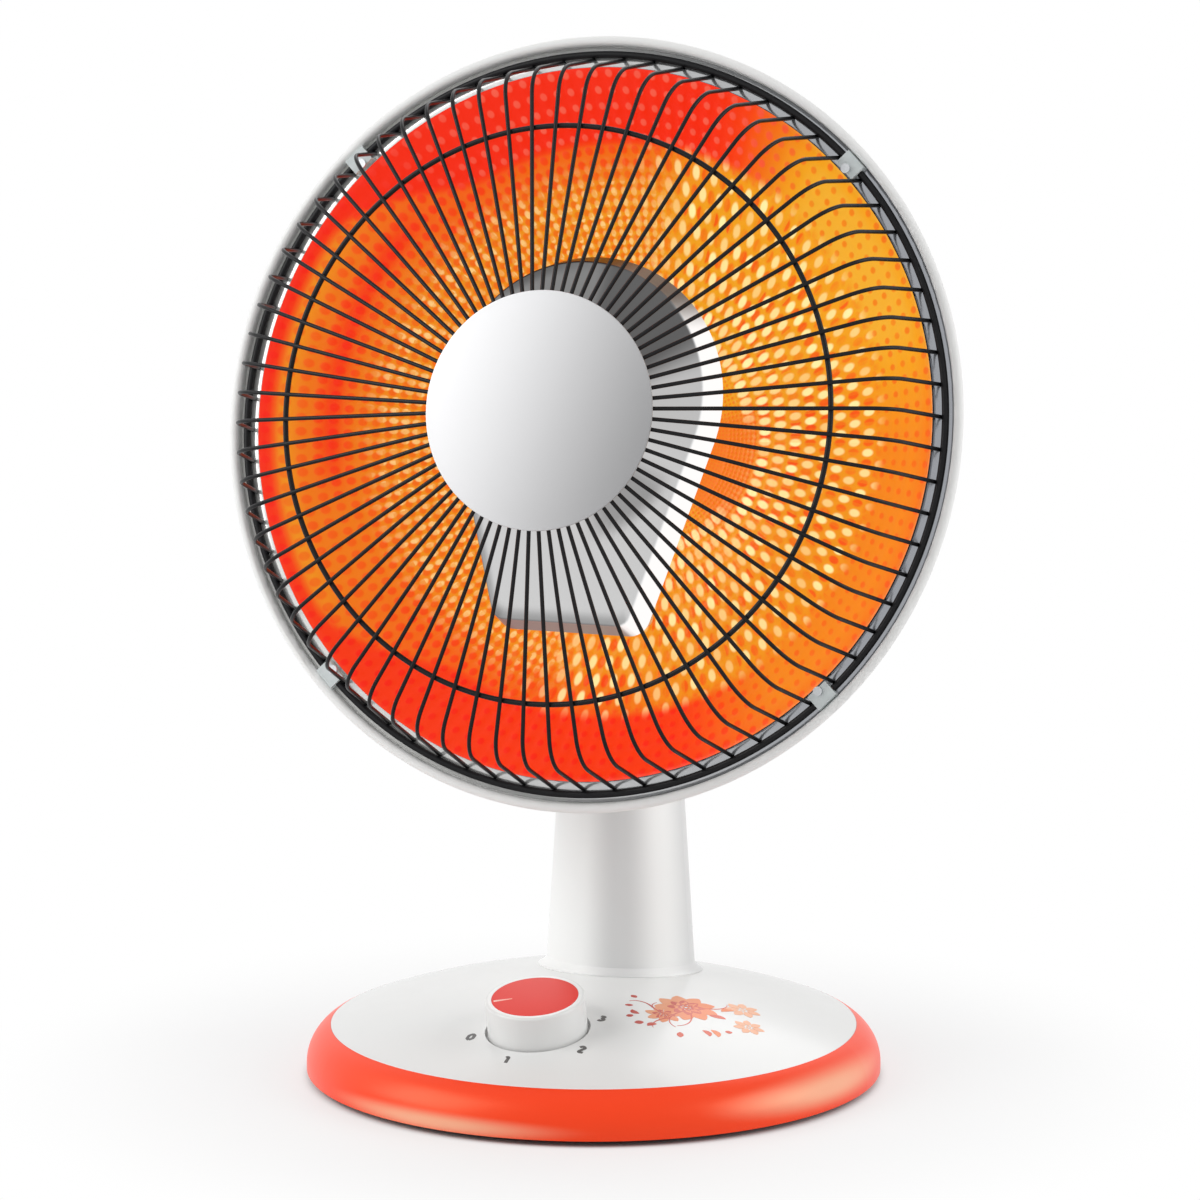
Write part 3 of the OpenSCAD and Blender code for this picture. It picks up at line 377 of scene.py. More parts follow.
@dataclass(frozen=True)
class Coated(Finish):
    """Powder-coated wire or sheet: dark, half gloss, with a pebbled skin."""

    colour: Colour = (0.006, 0.006, 0.007)
    roughness: float = 0.36

    def sockets(self, g: Graph) -> dict[str, Any]:
        """Pebbles lift the colour a little."""
        pebbles = g.noise(2200, 2)
        lifted = tuple(c + 0.008 for c in self.colour)
        return {
            "Base Color": g.mix(pebbles.step(0.45, 0.75), self.colour, lifted), "Specular IOR Level": 0.18,
            "Roughness": self.roughness + 0.1 * (g.noise(120, 2) - 0.5),
            "Normal": g.bump(pebbles, 0.03, 0.5)}


@dataclass(frozen=True)
class Stone(Finish):
    """Unglazed ceramic, rubber or iron: matt and grained."""

    colour: Colour
    roughness: float = 0.7
    speck: float = 0.25
    grain_mm: float = 0.06

    def sockets(self, g: Graph) -> dict[str, Any]:
        """Grain darkens the colour and roughens the skin."""
        grain = g.noise(700, 4)
        dark = tuple(c * (1 - self.speck) for c in self.colour)
        return {
            "Base Color": g.mix(grain.step(0.4, 0.8), self.colour, dark),
            "Roughness": self.roughness + 0.15 * (grain - 0.5),
            "Normal": g.bump(grain, self.grain_mm, 0.6)}


@dataclass(frozen=True)
class Clear(Finish):
    """Clear plastic or quartz, seen through but milky at its edges."""

    colour: Colour
    alpha: float = 0.35
    roughness: float = 0.08
    glow: float = 0.0

    def sockets(self, g: Graph) -> dict[str, Any]:
        """Clouds vary how much is seen through it."""
        cloud = g.noise(300, 2)
        return {
            "Base Color": self.colour, "Alpha": self.alpha + 0.15 * (cloud - 0.5),
            "Roughness": self.roughness + 0.06 * cloud, "Coat Weight": 0.4,
            "Emission Color": self.colour, "Emission Strength": self.glow,
            "Normal": g.bump(cloud, 0.03, 0.4)}


@dataclass(frozen=True)
class Glowing(Finish):
    """A hot coil: bright turns with darker gaps between them."""

    hot: Colour
    cool: Colour
    pitch: float = 1.2

    def sockets(self, g: Graph) -> dict[str, Any]:
        """The turns are bands of noise at the pitch."""
        turns = g.noise(1 / (self.pitch * MM), 1)
        colour = g.mix(turns.step(0.35, 0.6), self.cool, self.hot)
        return {
            "Base Color": colour, "Roughness": 0.5, "Emission Color": colour, "Emission Strength": 1.4,
            "Normal": g.bump(turns, 0.2, 0.7)}


@dataclass(frozen=True)
class DimpledGlow(Finish):
    """Bright dimpled sheet that mirrors the hot tube as a painted reflection and glow, from its mesh's own
    attributes.

    The attribute net is the colour between the dimples. The attribute spot is the colour of the dots, with
    their size as alpha. The attribute mark is the strength of wide glints, fine glints and dots, with the count
    of wide rows outwards as alpha. The map counts the fine cells round and out.

    Attributes:
        glow: how strongly the sheet shines by itself, a painted glow.
        depth: share of its colour that the lamps light.
        glint: colour of the glints, painted highlights.
        merge: wide cells for each fine cell round the dish.
        slim: how much narrower a wide glint gets in its cell for each row outwards, as the cells widen.
        slant: how much a glint leans for its length.
        length: cell heights for each length of a glint.
        fine_width: cell widths for each width of a fine glint.
        fine_at: where in its cell a fine glint lies.
    """

    glow: float = 0.74
    depth: float = 0.3
    glint: Colour = (1.2, 1.02, 0.46)
    merge: float = 84 / 144
    slim: float = 0.29
    slant: float = 0.06
    length: float = 2.1
    fine_width: float = 2.8
    fine_at: Span = (0.36, 0.4)

    @staticmethod
    def _chance(g: Graph, u: Value, v: Value) -> Value:
        """A random number of each cell."""
        number = g.node("CombineXYZ", {0: u.floor(), 1: v.floor()})
        return g.value(g.node("TexWhiteNoise", {"Vector": number}, noise_dimensions="3D"))

    @staticmethod
    def _centred(u: Value, v: Value) -> tuple[Value, Value]:
        """Place in the cell, from its middle."""
        return u.fract() - 0.5, v.fract() - 0.5

    def _dash(self, u: Value, v: Value, narrow: Number) -> Value:
        """1 on a slanted dash in the middle of each cell, longer outwards than round."""
        du, dv = self._centred(u, v)
        along, across = (dv + du * self.slant) * self.length, (du - dv * self.slant) * narrow
        return 1 - (along * along + across * across).root().step(0.55, 1.0)

    def sockets(self, g: Graph) -> dict[str, Any]:
        """Dots first, then the dark dashes of painted shade between the wide glints, and the painted highlight
        glints last.
        """
        u, v, _ = g.parts(g.node("UVMap", uv_map="cells"))
        net, spot, mark = (g.node("Attribute", attribute_name=n) for n in ("net", "spot", "mark"))
        wide, fine, dots = g.parts(mark.outputs["Vector"])
        wide_v = g.value(mark, "Alpha")
        wide_u = u * self.merge + (wide_v.floor() * 0.5).fract()
        chance, wide_chance = self._chance(g, u, v), self._chance(g, wide_u, wide_v)
        du, dv = self._centred(u, v)
        away = (du * du + dv * dv).root() / g.value(spot, "Alpha")
        narrow = wide_v * self.slim
        dot = (1 - away.step(0.7, 1.3)) * (0.75 + 0.25 * chance) * dots
        dark = self._dash(wide_u + 0.5, wide_v, narrow) * wide * (0.2 + 0.8 * wide_chance)
        glint = self._dash(wide_u, wide_v, narrow) * wide * (0.4 + 0.6 * wide_chance)
        aside, out = self.fine_at
        small = self._dash(u + aside, v + out, self.fine_width) * fine * (0.15 + 0.85 * chance)
        colour: Any = net.outputs["Color"]
        for share, paint in ((dot, spot.outputs["Color"]), (dark, spot.outputs["Color"]),
                             (glint, self.glint), (small, self.glint)):
            colour = g.mix(share, colour, paint)
        # The painted reflection feeds both the base colour and the emission, so the sheet glows by itself.
        return {
            "Base Color": g.mix(self.depth, (0.0, 0.0, 0.0), colour), "Metallic": 0.3,
            "Roughness": 0.32 + 0.1 * chance, "Emission Color": colour, "Emission Strength": self.glow}


@dataclass(frozen=True)
class Graded(Finish):
    """Bright metal with a painted reflection of a studio whose right side is dimmer.

    Attributes:
        light: colour at the left, painted light.
        dim: colour at the right, painted shade.
        start: x where the tone starts to fall, in millimetres.
        end: x where it is dim.
        roughness: roughness before the marks.
        metallic: metallic share at the left and at the right.
        lean: how far the fall moves to the right for each millimetre of height.
        level: height at which start and end hold.
    """

    light: Colour
    dim: Colour
    start: float
    end: float
    roughness: float
    metallic: tuple[float, float] = (1.0, 1.0)
    lean: float = 0.0
    level: float = 310.0

    def sockets(self, g: Graph) -> dict[str, Any]:
        """The painted tone falls along a line that leans."""
        x, _, z = g.parts()
        run = x - self.lean * (z - self.level * MM)
        share = run.step(self.start * MM, self.end * MM)
        marks = g.noise(1800, 2, g.place((0.05, 1, 1)))
        low, high = self.metallic
        return {
            "Base Color": g.mix(share, self.light, self.dim), "Metallic": low + (high - low) * share,
            "Roughness": self.roughness + 0.06 * marks, "Normal": g.bump(marks, 0.006, 0.5)}


@dataclass(frozen=True)
class ToneMetal(Finish):
    """Bright sheet with painted light and shade from its attribute tone, whose alpha is the share that shines by
    itself.
    """

    roughness: float = 0.3
    metallic: float = 0.1

    def sockets(self, g: Graph) -> dict[str, Any]:
        """The shining share is taken off the base colour and given to the emission."""
        tone = g.node("Attribute", attribute_name="tone")
        fine = g.noise(900, 2)
        own = g.value(tone, "Alpha")
        return {
            "Base Color": g.mix(own, tone.outputs["Color"], (0.0, 0.0, 0.0)), "Metallic": self.metallic,
            "Roughness": self.roughness + 0.08 * (fine - 0.5), "Specular IOR Level": 0.1,
            "Emission Color": g.mix(own, (0.0, 0.0, 0.0), tone.outputs["Color"]),
            "Emission Strength": 1.0, "Normal": g.bump(fine, 0.004, 0.4)}


@dataclass(frozen=True)
class Ink(Finish):
    """Printed ink, solid at one end of the print and paler at the other."""

    strong: Colour
    pale: Colour
    start: float
    end: float

    def sockets(self, g: Graph) -> dict[str, Any]:
        """The colour changes along x from start to end, with the ink's uneven cover."""
        fade = g.parts()[0].step(self.start * MM, self.end * MM) + 0.2 * (g.noise(260, 3) - 0.5)
        return {
            "Base Color": g.mix(fade, self.strong, self.pale), "Roughness": 0.34 + 0.1 * g.noise(900, 2),
            "Coat Weight": 0.2}


class Palette:
    """Every finish of the heater, made once and handed out by its slot's name."""

    WHITE = shade(0.91, 0.91, 0.905)
    ORANGE = shade(1.0, 0.25, 0.1)
    RED = shade(0.9, 0.13, 0.06)
    FINISHES = {
        "white_plastic": Moulding(WHITE),
        "shell": Moulding(shade(0.95, 0.95, 0.945), 0.55, 0.0, 0.2),
        # Skirt with painted highlights: pale patches in its base colour at the front-left foot and at the right.
        "orange_plastic": Glossed(ORANGE, shade(1.0, 0.78, 0.64), ((-12, 34, 6.5, 6.0), (74, 34, 13, 10)),
                                  (1.0, 0.5, 0.28)),
        "red_plastic": Moulding(RED, 0.3, 0.0, 0.25, tint=(1.0, 0.4, 0.3)),
        "grey_plastic": Moulding(shade(0.3, 0.3, 0.31), 0.5, 0.0, 0.4, 0.04),
        "black_plastic": Moulding(shade(0.09, 0.09, 0.09), 0.45, 0.0, 0.4, 0.03),
        "rubber": Stone(shade(0.12, 0.12, 0.12), 0.75, 0.3, 0.04),
        "steel": Metal(shade(0.78, 0.79, 0.8), 0.34),
        "iron": Stone(shade(0.25, 0.25, 0.26), 0.8, 0.4, 0.2),
        "ceramic": Stone(shade(0.93, 0.91, 0.86), 0.6, 0.08, 0.05),
        "brass": Metal(shade(0.82, 0.66, 0.36), 0.3),
        "motor": Metal(shade(0.7, 0.7, 0.7), 0.45),
        "chrome": Metal(shade(0.84, 0.84, 0.85), 0.22, 0.85, 0.008),
        "quartz": Clear(shade(1.0, 0.78, 0.6), 0.45, 0.05, 0.3),
        "filament": Glowing(shade(1.0, 0.72, 0.3), shade(0.9, 0.25, 0.05)),
        "guard_black": Coated(),
        # The disc's painted reflection: painted light at the left, painted shade at the right.
        "disc": Graded(shade(0.95, 0.95, 0.955), shade(0.54, 0.54, 0.545), -70, 85, 0.4, (0.25, 0.25), 0.3),
        "clear_plastic": Clear(shade(0.92, 0.95, 0.95), 0.72, 0.12),
        # The reflector's painted reflection and glow of the hot tube.
        "reflector": DimpledGlow(),
    }
    # The flange's painted reflection: painted light at the left, painted shade at the right.
    POLISHED = Graded(shade(0.97, 0.97, 0.96), shade(0.62, 0.63, 0.65), -120, 150, 0.1, (0.3, 0.9))

    def __init__(self) -> None:
        """Starts with no material made."""
        self.made: dict[str, bpy.types.Material] = {}

    def get(self, name: str, finish: Optional[Finish] = None) -> bpy.types.Material:
        """The material of a name, made once: another finish where one is given, else the slot of that name."""
        if name not in self.made:
            self.made[name] = (finish or self.FINISHES[name]).material(name)
        return self.made[name]

    def finish(self, piece: bpy.types.Object, body: str, slot: str, nodes: Sequence[str] = (),
               own: Optional[tuple[str, Finish]] = None) -> None:
        """Gives a piece its material and its body, and hides the CAD nodes that it stands for.

        Args:
            piece: the piece.
            body: the CAD body that it rides on.
            slot: the record's slot that its finish comes from.
            nodes: the CAD nodes that it replaces.
            own: name and finish of a material that it wears instead of its slot's.
        """
        piece.data.materials.append(self.get(*(own or (slot,))))
        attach(piece, body)
        if nodes:
            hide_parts(*nodes)
        LOG.info("%s on %s: %d faces", piece.name, body, len(piece.data.polygons))


# ---- surfaces


@dataclass
class Sheet:
    """A grid of points, rows by columns, in millimetres.

    Attributes:
        points: array of rows x columns x 3.
        ring: the columns close on themselves.
        loop: the rows close on themselves.
        capped: flat faces close the first and the last row.
    """

    points: np.ndarray
    ring: bool = True
    loop: bool = False
    capped: bool = False

    def faces(self, start: int) -> list[tuple[int, ...]]:
        """Quads between neighbouring rows and columns, and the caps.

        Args:
            start: number of the first point.

        Returns:
            The faces as numbers of points.
        """
        rows, columns = self.points.shape[:2]
        number = np.arange(rows * columns).reshape(rows, columns) + start
        if self.ring:
            number = np.hstack([number, number[:, :1]])
        if self.loop:
            number = np.vstack([number, number[:1]])
        quads = np.stack([number[:-1, :-1], number[:-1, 1:], number[1:, 1:], number[1:, :-1]], -1)
        made = [tuple(q) for q in quads.reshape(-1, 4).tolist()]
        if self.capped:
            first, last = (np.arange(columns) + start + k for k in (0, (rows - 1) * columns))
            made += [tuple(first[::-1].tolist()), tuple(last.tolist())]
        return made


def link_new(name: str, data: Any) -> bpy.types.Object:
    """A new object with that data, linked to the scene."""
    made = bpy.data.objects.new(name, data)
    bpy.context.scene.collection.objects.link(made)
    return made


def new_mesh(name: str, sheets: Sequence[Sheet], crease: float = 32.0) -> bpy.types.Object:
    """Joins sheets into one smooth object whose place is in its mesh, with its faces turned outwards.

    Args:
        name: the object's name.
        sheets: the surfaces, in millimetres in the row frame.
        crease: edges that bend by more degrees than this stay sharp.

    Returns:
        The linked object.
    """
    vertices = np.vstack([s.points.reshape(-1, 3) for s in sheets]) * MM
    faces: list[tuple[int, ...]] = []
    start = 0
    for sheet in sheets:
        faces += sheet.faces(start)
        start += sheet.points.shape[0] * sheet.points.shape[1]
    mesh = bpy.data.meshes.new(name)
    mesh.from_pydata(vertices, [], faces)
    work = bmesh.new()
    work.from_mesh(mesh)
    bmesh.ops.recalc_face_normals(work, faces=work.faces)
    work.to_mesh(mesh)
    work.free()
    mesh.shade_smooth()
    mesh.set_sharp_from_angle(angle=np.radians(crease))
    return link_new(name, mesh)


def paint_points(mesh: bpy.types.Mesh, name: str, colours: np.ndarray) -> None:
    """Stores a linear colour with alpha for each point of a mesh, as an attribute of that name."""
    attribute = mesh.color_attributes.new(name, "FLOAT_COLOR", "POINT")
    attribute.data.foreach_set("color", colours.astype(np.float32).ravel())


def turned(profile: np.ndarray, count: int) -> np.ndarray:
    """Turns a profile of radius and height about z.

    Args:
        profile: rows of radius and height.
        count: number of columns round the axis.

    Returns:
        The grid: each column is the profile turned by its share of a full turn.
    """
    angle = np.arange(count) * TAU / count
    r, z = profile[:, :1], profile[:, 1:]
    return np.stack([r * np.cos(angle), r * np.sin(angle), np.repeat(z, count, 1)], -1)


def rounded(corners: Sequence[tuple[float, float, float]], steps: int = 6) -> np.ndarray:
    """Walks a chain of corners, each with its own radius, along straight runs and arcs.

    Args:
        corners: x, y and rounding radius of each corner; the first and last are ends, and theirs isn't used.
        steps: points on each arc.

    Returns:
        The points of the rounded chain.
    """
    xy = np.array([c[:2] for c in corners], float)
    out = [xy[:1]]
    for before, here, after, radius in zip(xy[:-2], xy[1:-1], xy[2:], [c[2] for c in corners[1:-1]]):
        back, on = before - here, after - here
        back, on = back / np.linalg.norm(back), on / np.linalg.norm(on)
        half = np.arccos(np.clip(back @ on, -1, 1)) / 2
        centre = here + (back + on) / np.linalg.norm(back + on) * radius / np.sin(half)
        first, last = (here + d * radius / np.tan(half) - centre for d in (back, on))
        sweep = np.arctan2(first[0] * last[1] - first[1] * last[0], first @ last)
        a = np.arctan2(first[1], first[0]) + sweep * np.linspace(0, 1, steps)
        out.append(centre + radius * np.stack([np.cos(a), np.sin(a)], -1))
    return np.vstack(out + [xy[-1:]])


@dataclass(frozen=True)
class HeadSpace:
    """The head's own axes: x across, y up the dish, z forward along its axis."""

    forward: float = 7.020
    height: float = 309.574
    tilt: float = 12.6

    def to_frame(self, local: np.ndarray) -> np.ndarray:
        """Turns head coordinates into the row frame: a turn about x, then a shift.

        Args:
            local: points in the head's axes, in an array whose last side is 3.

        Returns:
            The same points in the row frame.
        """
        t = np.radians(self.tilt)
        axes = np.array([[1, 0, 0], [0, np.sin(t), np.cos(t)], [0, -np.cos(t), np.sin(t)]])
        return local @ axes + np.array([0, -self.forward, self.height])


# ---- reflector


@dataclass
class Dish:
    """Dimpled reflector with its rolled edge and polished flange."""

    space: HeadSpace
    palette: Palette
    edge_r: float = 165.0
    depth: float = 75.0
    sheet: float = 0.8
    flange_r: float = 175.0
    flange_z: float = -1.75
    around: int = 144
    rows: int = 30
    first_r: float = 45.0
    per_cell: int = 4
    swell: float = 0.1
    wide_row: float = 8.7
    trim: float = 0.6
    red_soft: float = 3.0
    wide_dark: float = 0.16
    dot: float = 0.33
    dot_loss: float = 0.1

    # What the zones of the face add to each quantity of its glow, a painted reflection of the hot tube. Warmth
    # runs from 0 for red to 1 for cream. The right side mirrors the tube best and is yellow out to the edge.
    # Elsewhere the outer band is red, with an orange arc in it on the left. In turn: the bright side, the face's
    # outer part, the radius where the red band starts, the warmth lost outwards, where it isn't lost, the warmth
    # of the inner face, of the bright edge and of the red band, the strength of fine glints, the dots' warmth
    # over the net's, the same at the bright edge, and the painted highlight that makes the dots pale in the red
    # band. WIDE are the zones of the wide glints, painted highlights.
    GLOW = {
        "right": (Zone(1, 0, 48, 27),),
        "outer": (Zone(1, rise=(128, 138)),),
        "red_from": (Zone(134), Zone(26, 182, 32, 30)),
        "cooling": (Zone(0.2, rise=(108, 132)),),
        "spared": (Zone(1, 0, 58, 40), Zone(0.55, 182, 30, 24)),
        "warm": (Zone(0.56), Zone(-0.12, -14, 24, 12, fall=(59, 64)), Zone(-0.04, 195, 60, 40),
                 Zone(-0.24, 166, 20, 14, ring=(138, 5.5)), Zone(0.1, 182, 26, 16, ring=(156, 4)),
                 Zone(0.06, 48, 20, 26)),
        "lit": (Zone(0.58), Zone(0.1, 42, 18, 26), Zone(-0.1, 330, 24, 30), Zone(-0.06, rise=(155, 164))),
        "dim": (Zone(0.04), Zone(0.08, 255, 36, 40)),
        "fine": (Zone(0.55, rise=(50, 60), fall=(112, 130)),
                 Zone(-0.4, -12, 22, 14, rise=(50, 60), fall=(112, 130))),
        "spot": (Zone(-0.16), Zone(0.02, rise=(128, 138)), Zone(0.1, -14, 24, 12, fall=(59, 64))),
        "edge_spot": (Zone(-0.08, 45, 25, 20),),
        "dot_highlight": (Zone(0.22, 80, 34, 30),),
    }
    WIDE = (Zone(1, -14, 28, 14, rise=(58, 64)), Zone(1, 48, 26, 20, rise=(50, 54)),
            Zone(0.9, -70, 20, 24, rise=(50, 54)))
    # Colour of the painted highlights on the dots in the red band.
    DOT_HIGHLIGHT = linear(np.array([1.0, 0.74, 0.6]))
    STOPS = (0, 0.2, 0.42, 0.62, 0.8, 1.0)
    WARMTHS = linear(np.array([[1.0, 0.13, 0.02], [1.0, 0.26, 0.03], [0.97, 0.48, 0.06], [0.97, 0.66, 0.1],
                               [0.97, 0.8, 0.28], [1.0, 0.95, 0.72]]))

    def height(self, r: np.ndarray) -> np.ndarray:
        """Parabola through the vertex at -depth and the edge at 0.5."""
        return -self.depth * (1 - (r / self.edge_r) ** 2) + 0.5 * r / self.edge_r

    def cells_out(self, r: np.ndarray) -> np.ndarray:
        """Cell rows counted outwards: the logarithm of r over first_r, over one cell's angle."""
        return np.log(np.maximum(r, 1.0) / self.first_r) / (TAU / self.around)

    def bulge(self, u: np.ndarray, v: np.ndarray, r: np.ndarray) -> np.ndarray:
        """Height of the dimples: cosine squared round times cosine squared outwards, as a share of the pitch.

        Args:
            u: cells round the dish.
            v: cell rows outwards.
            r: radius of each point.

        Returns:
            Height of each point over the plain face.
        """
        du, dv = u % 1 - 0.5, v % 1 - 0.5
        fade = smooth(-0.5, 0.5, v) * (1 - smooth(self.rows - 0.5, self.rows, v))
        return self.swell * r * TAU / self.around * np.cos(np.pi * du) ** 2 * np.cos(np.pi * dv) ** 2 * fade

    def colours(self, r: np.ndarray, angle: np.ndarray) -> tuple[np.ndarray, ...]:
        """Colours and strengths of the painted reflection that DimpledGlow paints with.

        Args:
            r: radius of each point.
            angle: its angle from the right, anticlockwise seen from the front.

        Returns:
            Linear colour of the net with 1 as alpha, linear colour of the dots with their size in cells as alpha,
            and the strength of wide glints, fine glints and dots with the count of wide rows outwards as alpha.
        """
        degrees = np.degrees(angle)
        of = {name: sum(zone.add(r, degrees) for zone in zones) for name, zones in self.GLOW.items()}
        red = (1 - of["right"]) * smooth(of["red_from"] - self.red_soft, of["red_from"] + self.red_soft, r)
        edge = of["right"] * of["outer"]
        warm = of["warm"] - of["cooling"] * (1 - of["spared"])
        net = warm + red * (of["dim"] - warm) + edge * (of["lit"] - warm)
        wide = np.max([zone.add(r, degrees) for zone in self.WIDE], 0) * (1 - of["outer"])
        spot = self._paint(net + of["spot"] - self.wide_dark * wide + edge * of["edge_spot"])
        # Painted highlights make the dots pale in the red band.
        spot = spot + (red * of["dot_highlight"])[..., None] * (self.DOT_HIGHLIGHT - spot)
        size = self.dot - self.dot_loss * np.maximum(red, edge)
        mark = np.stack([wide, (1 - wide) * of["fine"], 1 - wide, r / self.wide_row], -1)
        return (np.concatenate([self._paint(net), np.ones_like(net)[..., None]], -1),
                np.concatenate([spot, size[..., None]], -1), mark)

    def _paint(self, warmth: np.ndarray) -> np.ndarray:
        """Linear colour of a warmth: red, flame, orange, amber, yellow and cream in turn."""
        warmth = np.clip(warmth, 0, 1)
        return np.stack([np.interp(warmth, self.STOPS, self.WARMTHS[:, k]) for k in range(3)], -1)


    def build(self) -> None:
        """Makes the dish as one closed sheet: the dimpled face, the rolled edge, the flange and the back."""
        cell = TAU / self.around
        inner = np.linspace(1.0, self.first_r, 9)[:-1]
        dimpled = self.first_r * np.exp(cell * np.arange(self.rows * self.per_cell) / self.per_cell)
        dimpled = dimpled[dimpled < self.edge_r - self.trim]
        face_r = np.concatenate([inner, dimpled, [self.edge_r]])
        columns = self.around * self.per_cell
        u = np.arange(columns) / self.per_cell
        angle = u * cell
        v = self.cells_out(face_r)
        grid_u, grid_v = np.meshgrid(u, v)
        grid_r = np.repeat(face_r[:, None], columns, 1)
        z = self.height(grid_r) + self.bulge(grid_u, grid_v, grid_r)
        back_r = np.linspace(self.edge_r - self.trim, 1.0, 10)[:, None]
        slope = 2 * self.depth * back_r / self.edge_r**2
        back_z = self.height(back_r) - self.sheet * np.sqrt(1 + slope**2)
        edge = np.array([[0.45, 0.62], [0.7, 0.35], [0.8, self.flange_z]]) + np.array([self.edge_r, 0])
        low = self.flange_z - self.sheet
        under = np.array([[self.flange_r - 0.3, self.flange_z], [self.flange_r, self.flange_z - 0.3],
                          [self.flange_r, low], [self.edge_r + 0.2, low]])
        rest = np.vstack([edge, under, np.hstack([back_r, back_z])])
        all_r = np.vstack([grid_r, np.repeat(rest[:, :1], columns, 1)])
        all_z = np.vstack([z, np.repeat(rest[:, 1:], columns, 1)])
        points = np.stack([all_r * np.cos(angle), all_r * np.sin(angle), all_z], -1)
        sheet = Sheet(self.space.to_frame(points), capped=True)
        piece = new_mesh("dimpled_dish", [sheet], crease=50.0)
        self._record(piece.data, all_r, np.broadcast_to(angle, all_r.shape))
        self.palette.finish(piece, "head", "reflector", ["reflector"])
        piece.data.materials.append(self.palette.get("polished_flange", Palette.POLISHED))
        self._split(piece.data, len(face_r), columns)

    def _record(self, mesh: bpy.types.Mesh, r: np.ndarray, angle: np.ndarray) -> None:
        """Stores the painted attributes on the points, and the cell numbers in a map.

        Args:
            mesh: the dish.
            r: radius of each point, rows by columns.
            angle: its angle.
        """
        for name, colour in zip(("net", "spot", "mark"), self.colours(r, angle)):
            paint_points(mesh, name, colour)
        places = np.zeros(len(mesh.loops), np.int32)
        mesh.loops.foreach_get("vertex_index", places)
        columns = r.shape[1]
        across = places % columns
        owner = np.repeat(np.arange(len(mesh.polygons)), [p.loop_total for p in mesh.polygons])

        def beside(column: int) -> np.ndarray:
            """Whether each corner's face has a corner in that column."""
            found = np.zeros(len(mesh.polygons), bool)
            np.logical_or.at(found, owner, across == column)
            return found[owner]

        wrap = beside(columns - 1) & beside(0) & (across == 0)
        u = (across + columns * wrap) / self.per_cell
        v = self.cells_out(r).ravel()[places]
        layer = mesh.uv_layers.new(name="cells")
        layer.data.foreach_set("uv", np.stack([u, v], -1).astype(np.float32).ravel())


    @staticmethod
    def _split(mesh: bpy.types.Mesh, face_rows: int, columns: int) -> None:
        """Gives the polished material to every face outside the dimpled one.

        Args:
            mesh: the dish.
            face_rows: rows of the dimpled face.
            columns: points in each row.
        """
        first = np.array([min(p.vertices) for p in mesh.polygons])
        last = np.array([max(p.vertices) for p in mesh.polygons])
        outside = last >= (face_rows + 1) * columns
        outside |= (first < columns) & (last < columns)
        mesh.polygons.foreach_set("material_index", outside.astype(np.int32))


# ---- guard


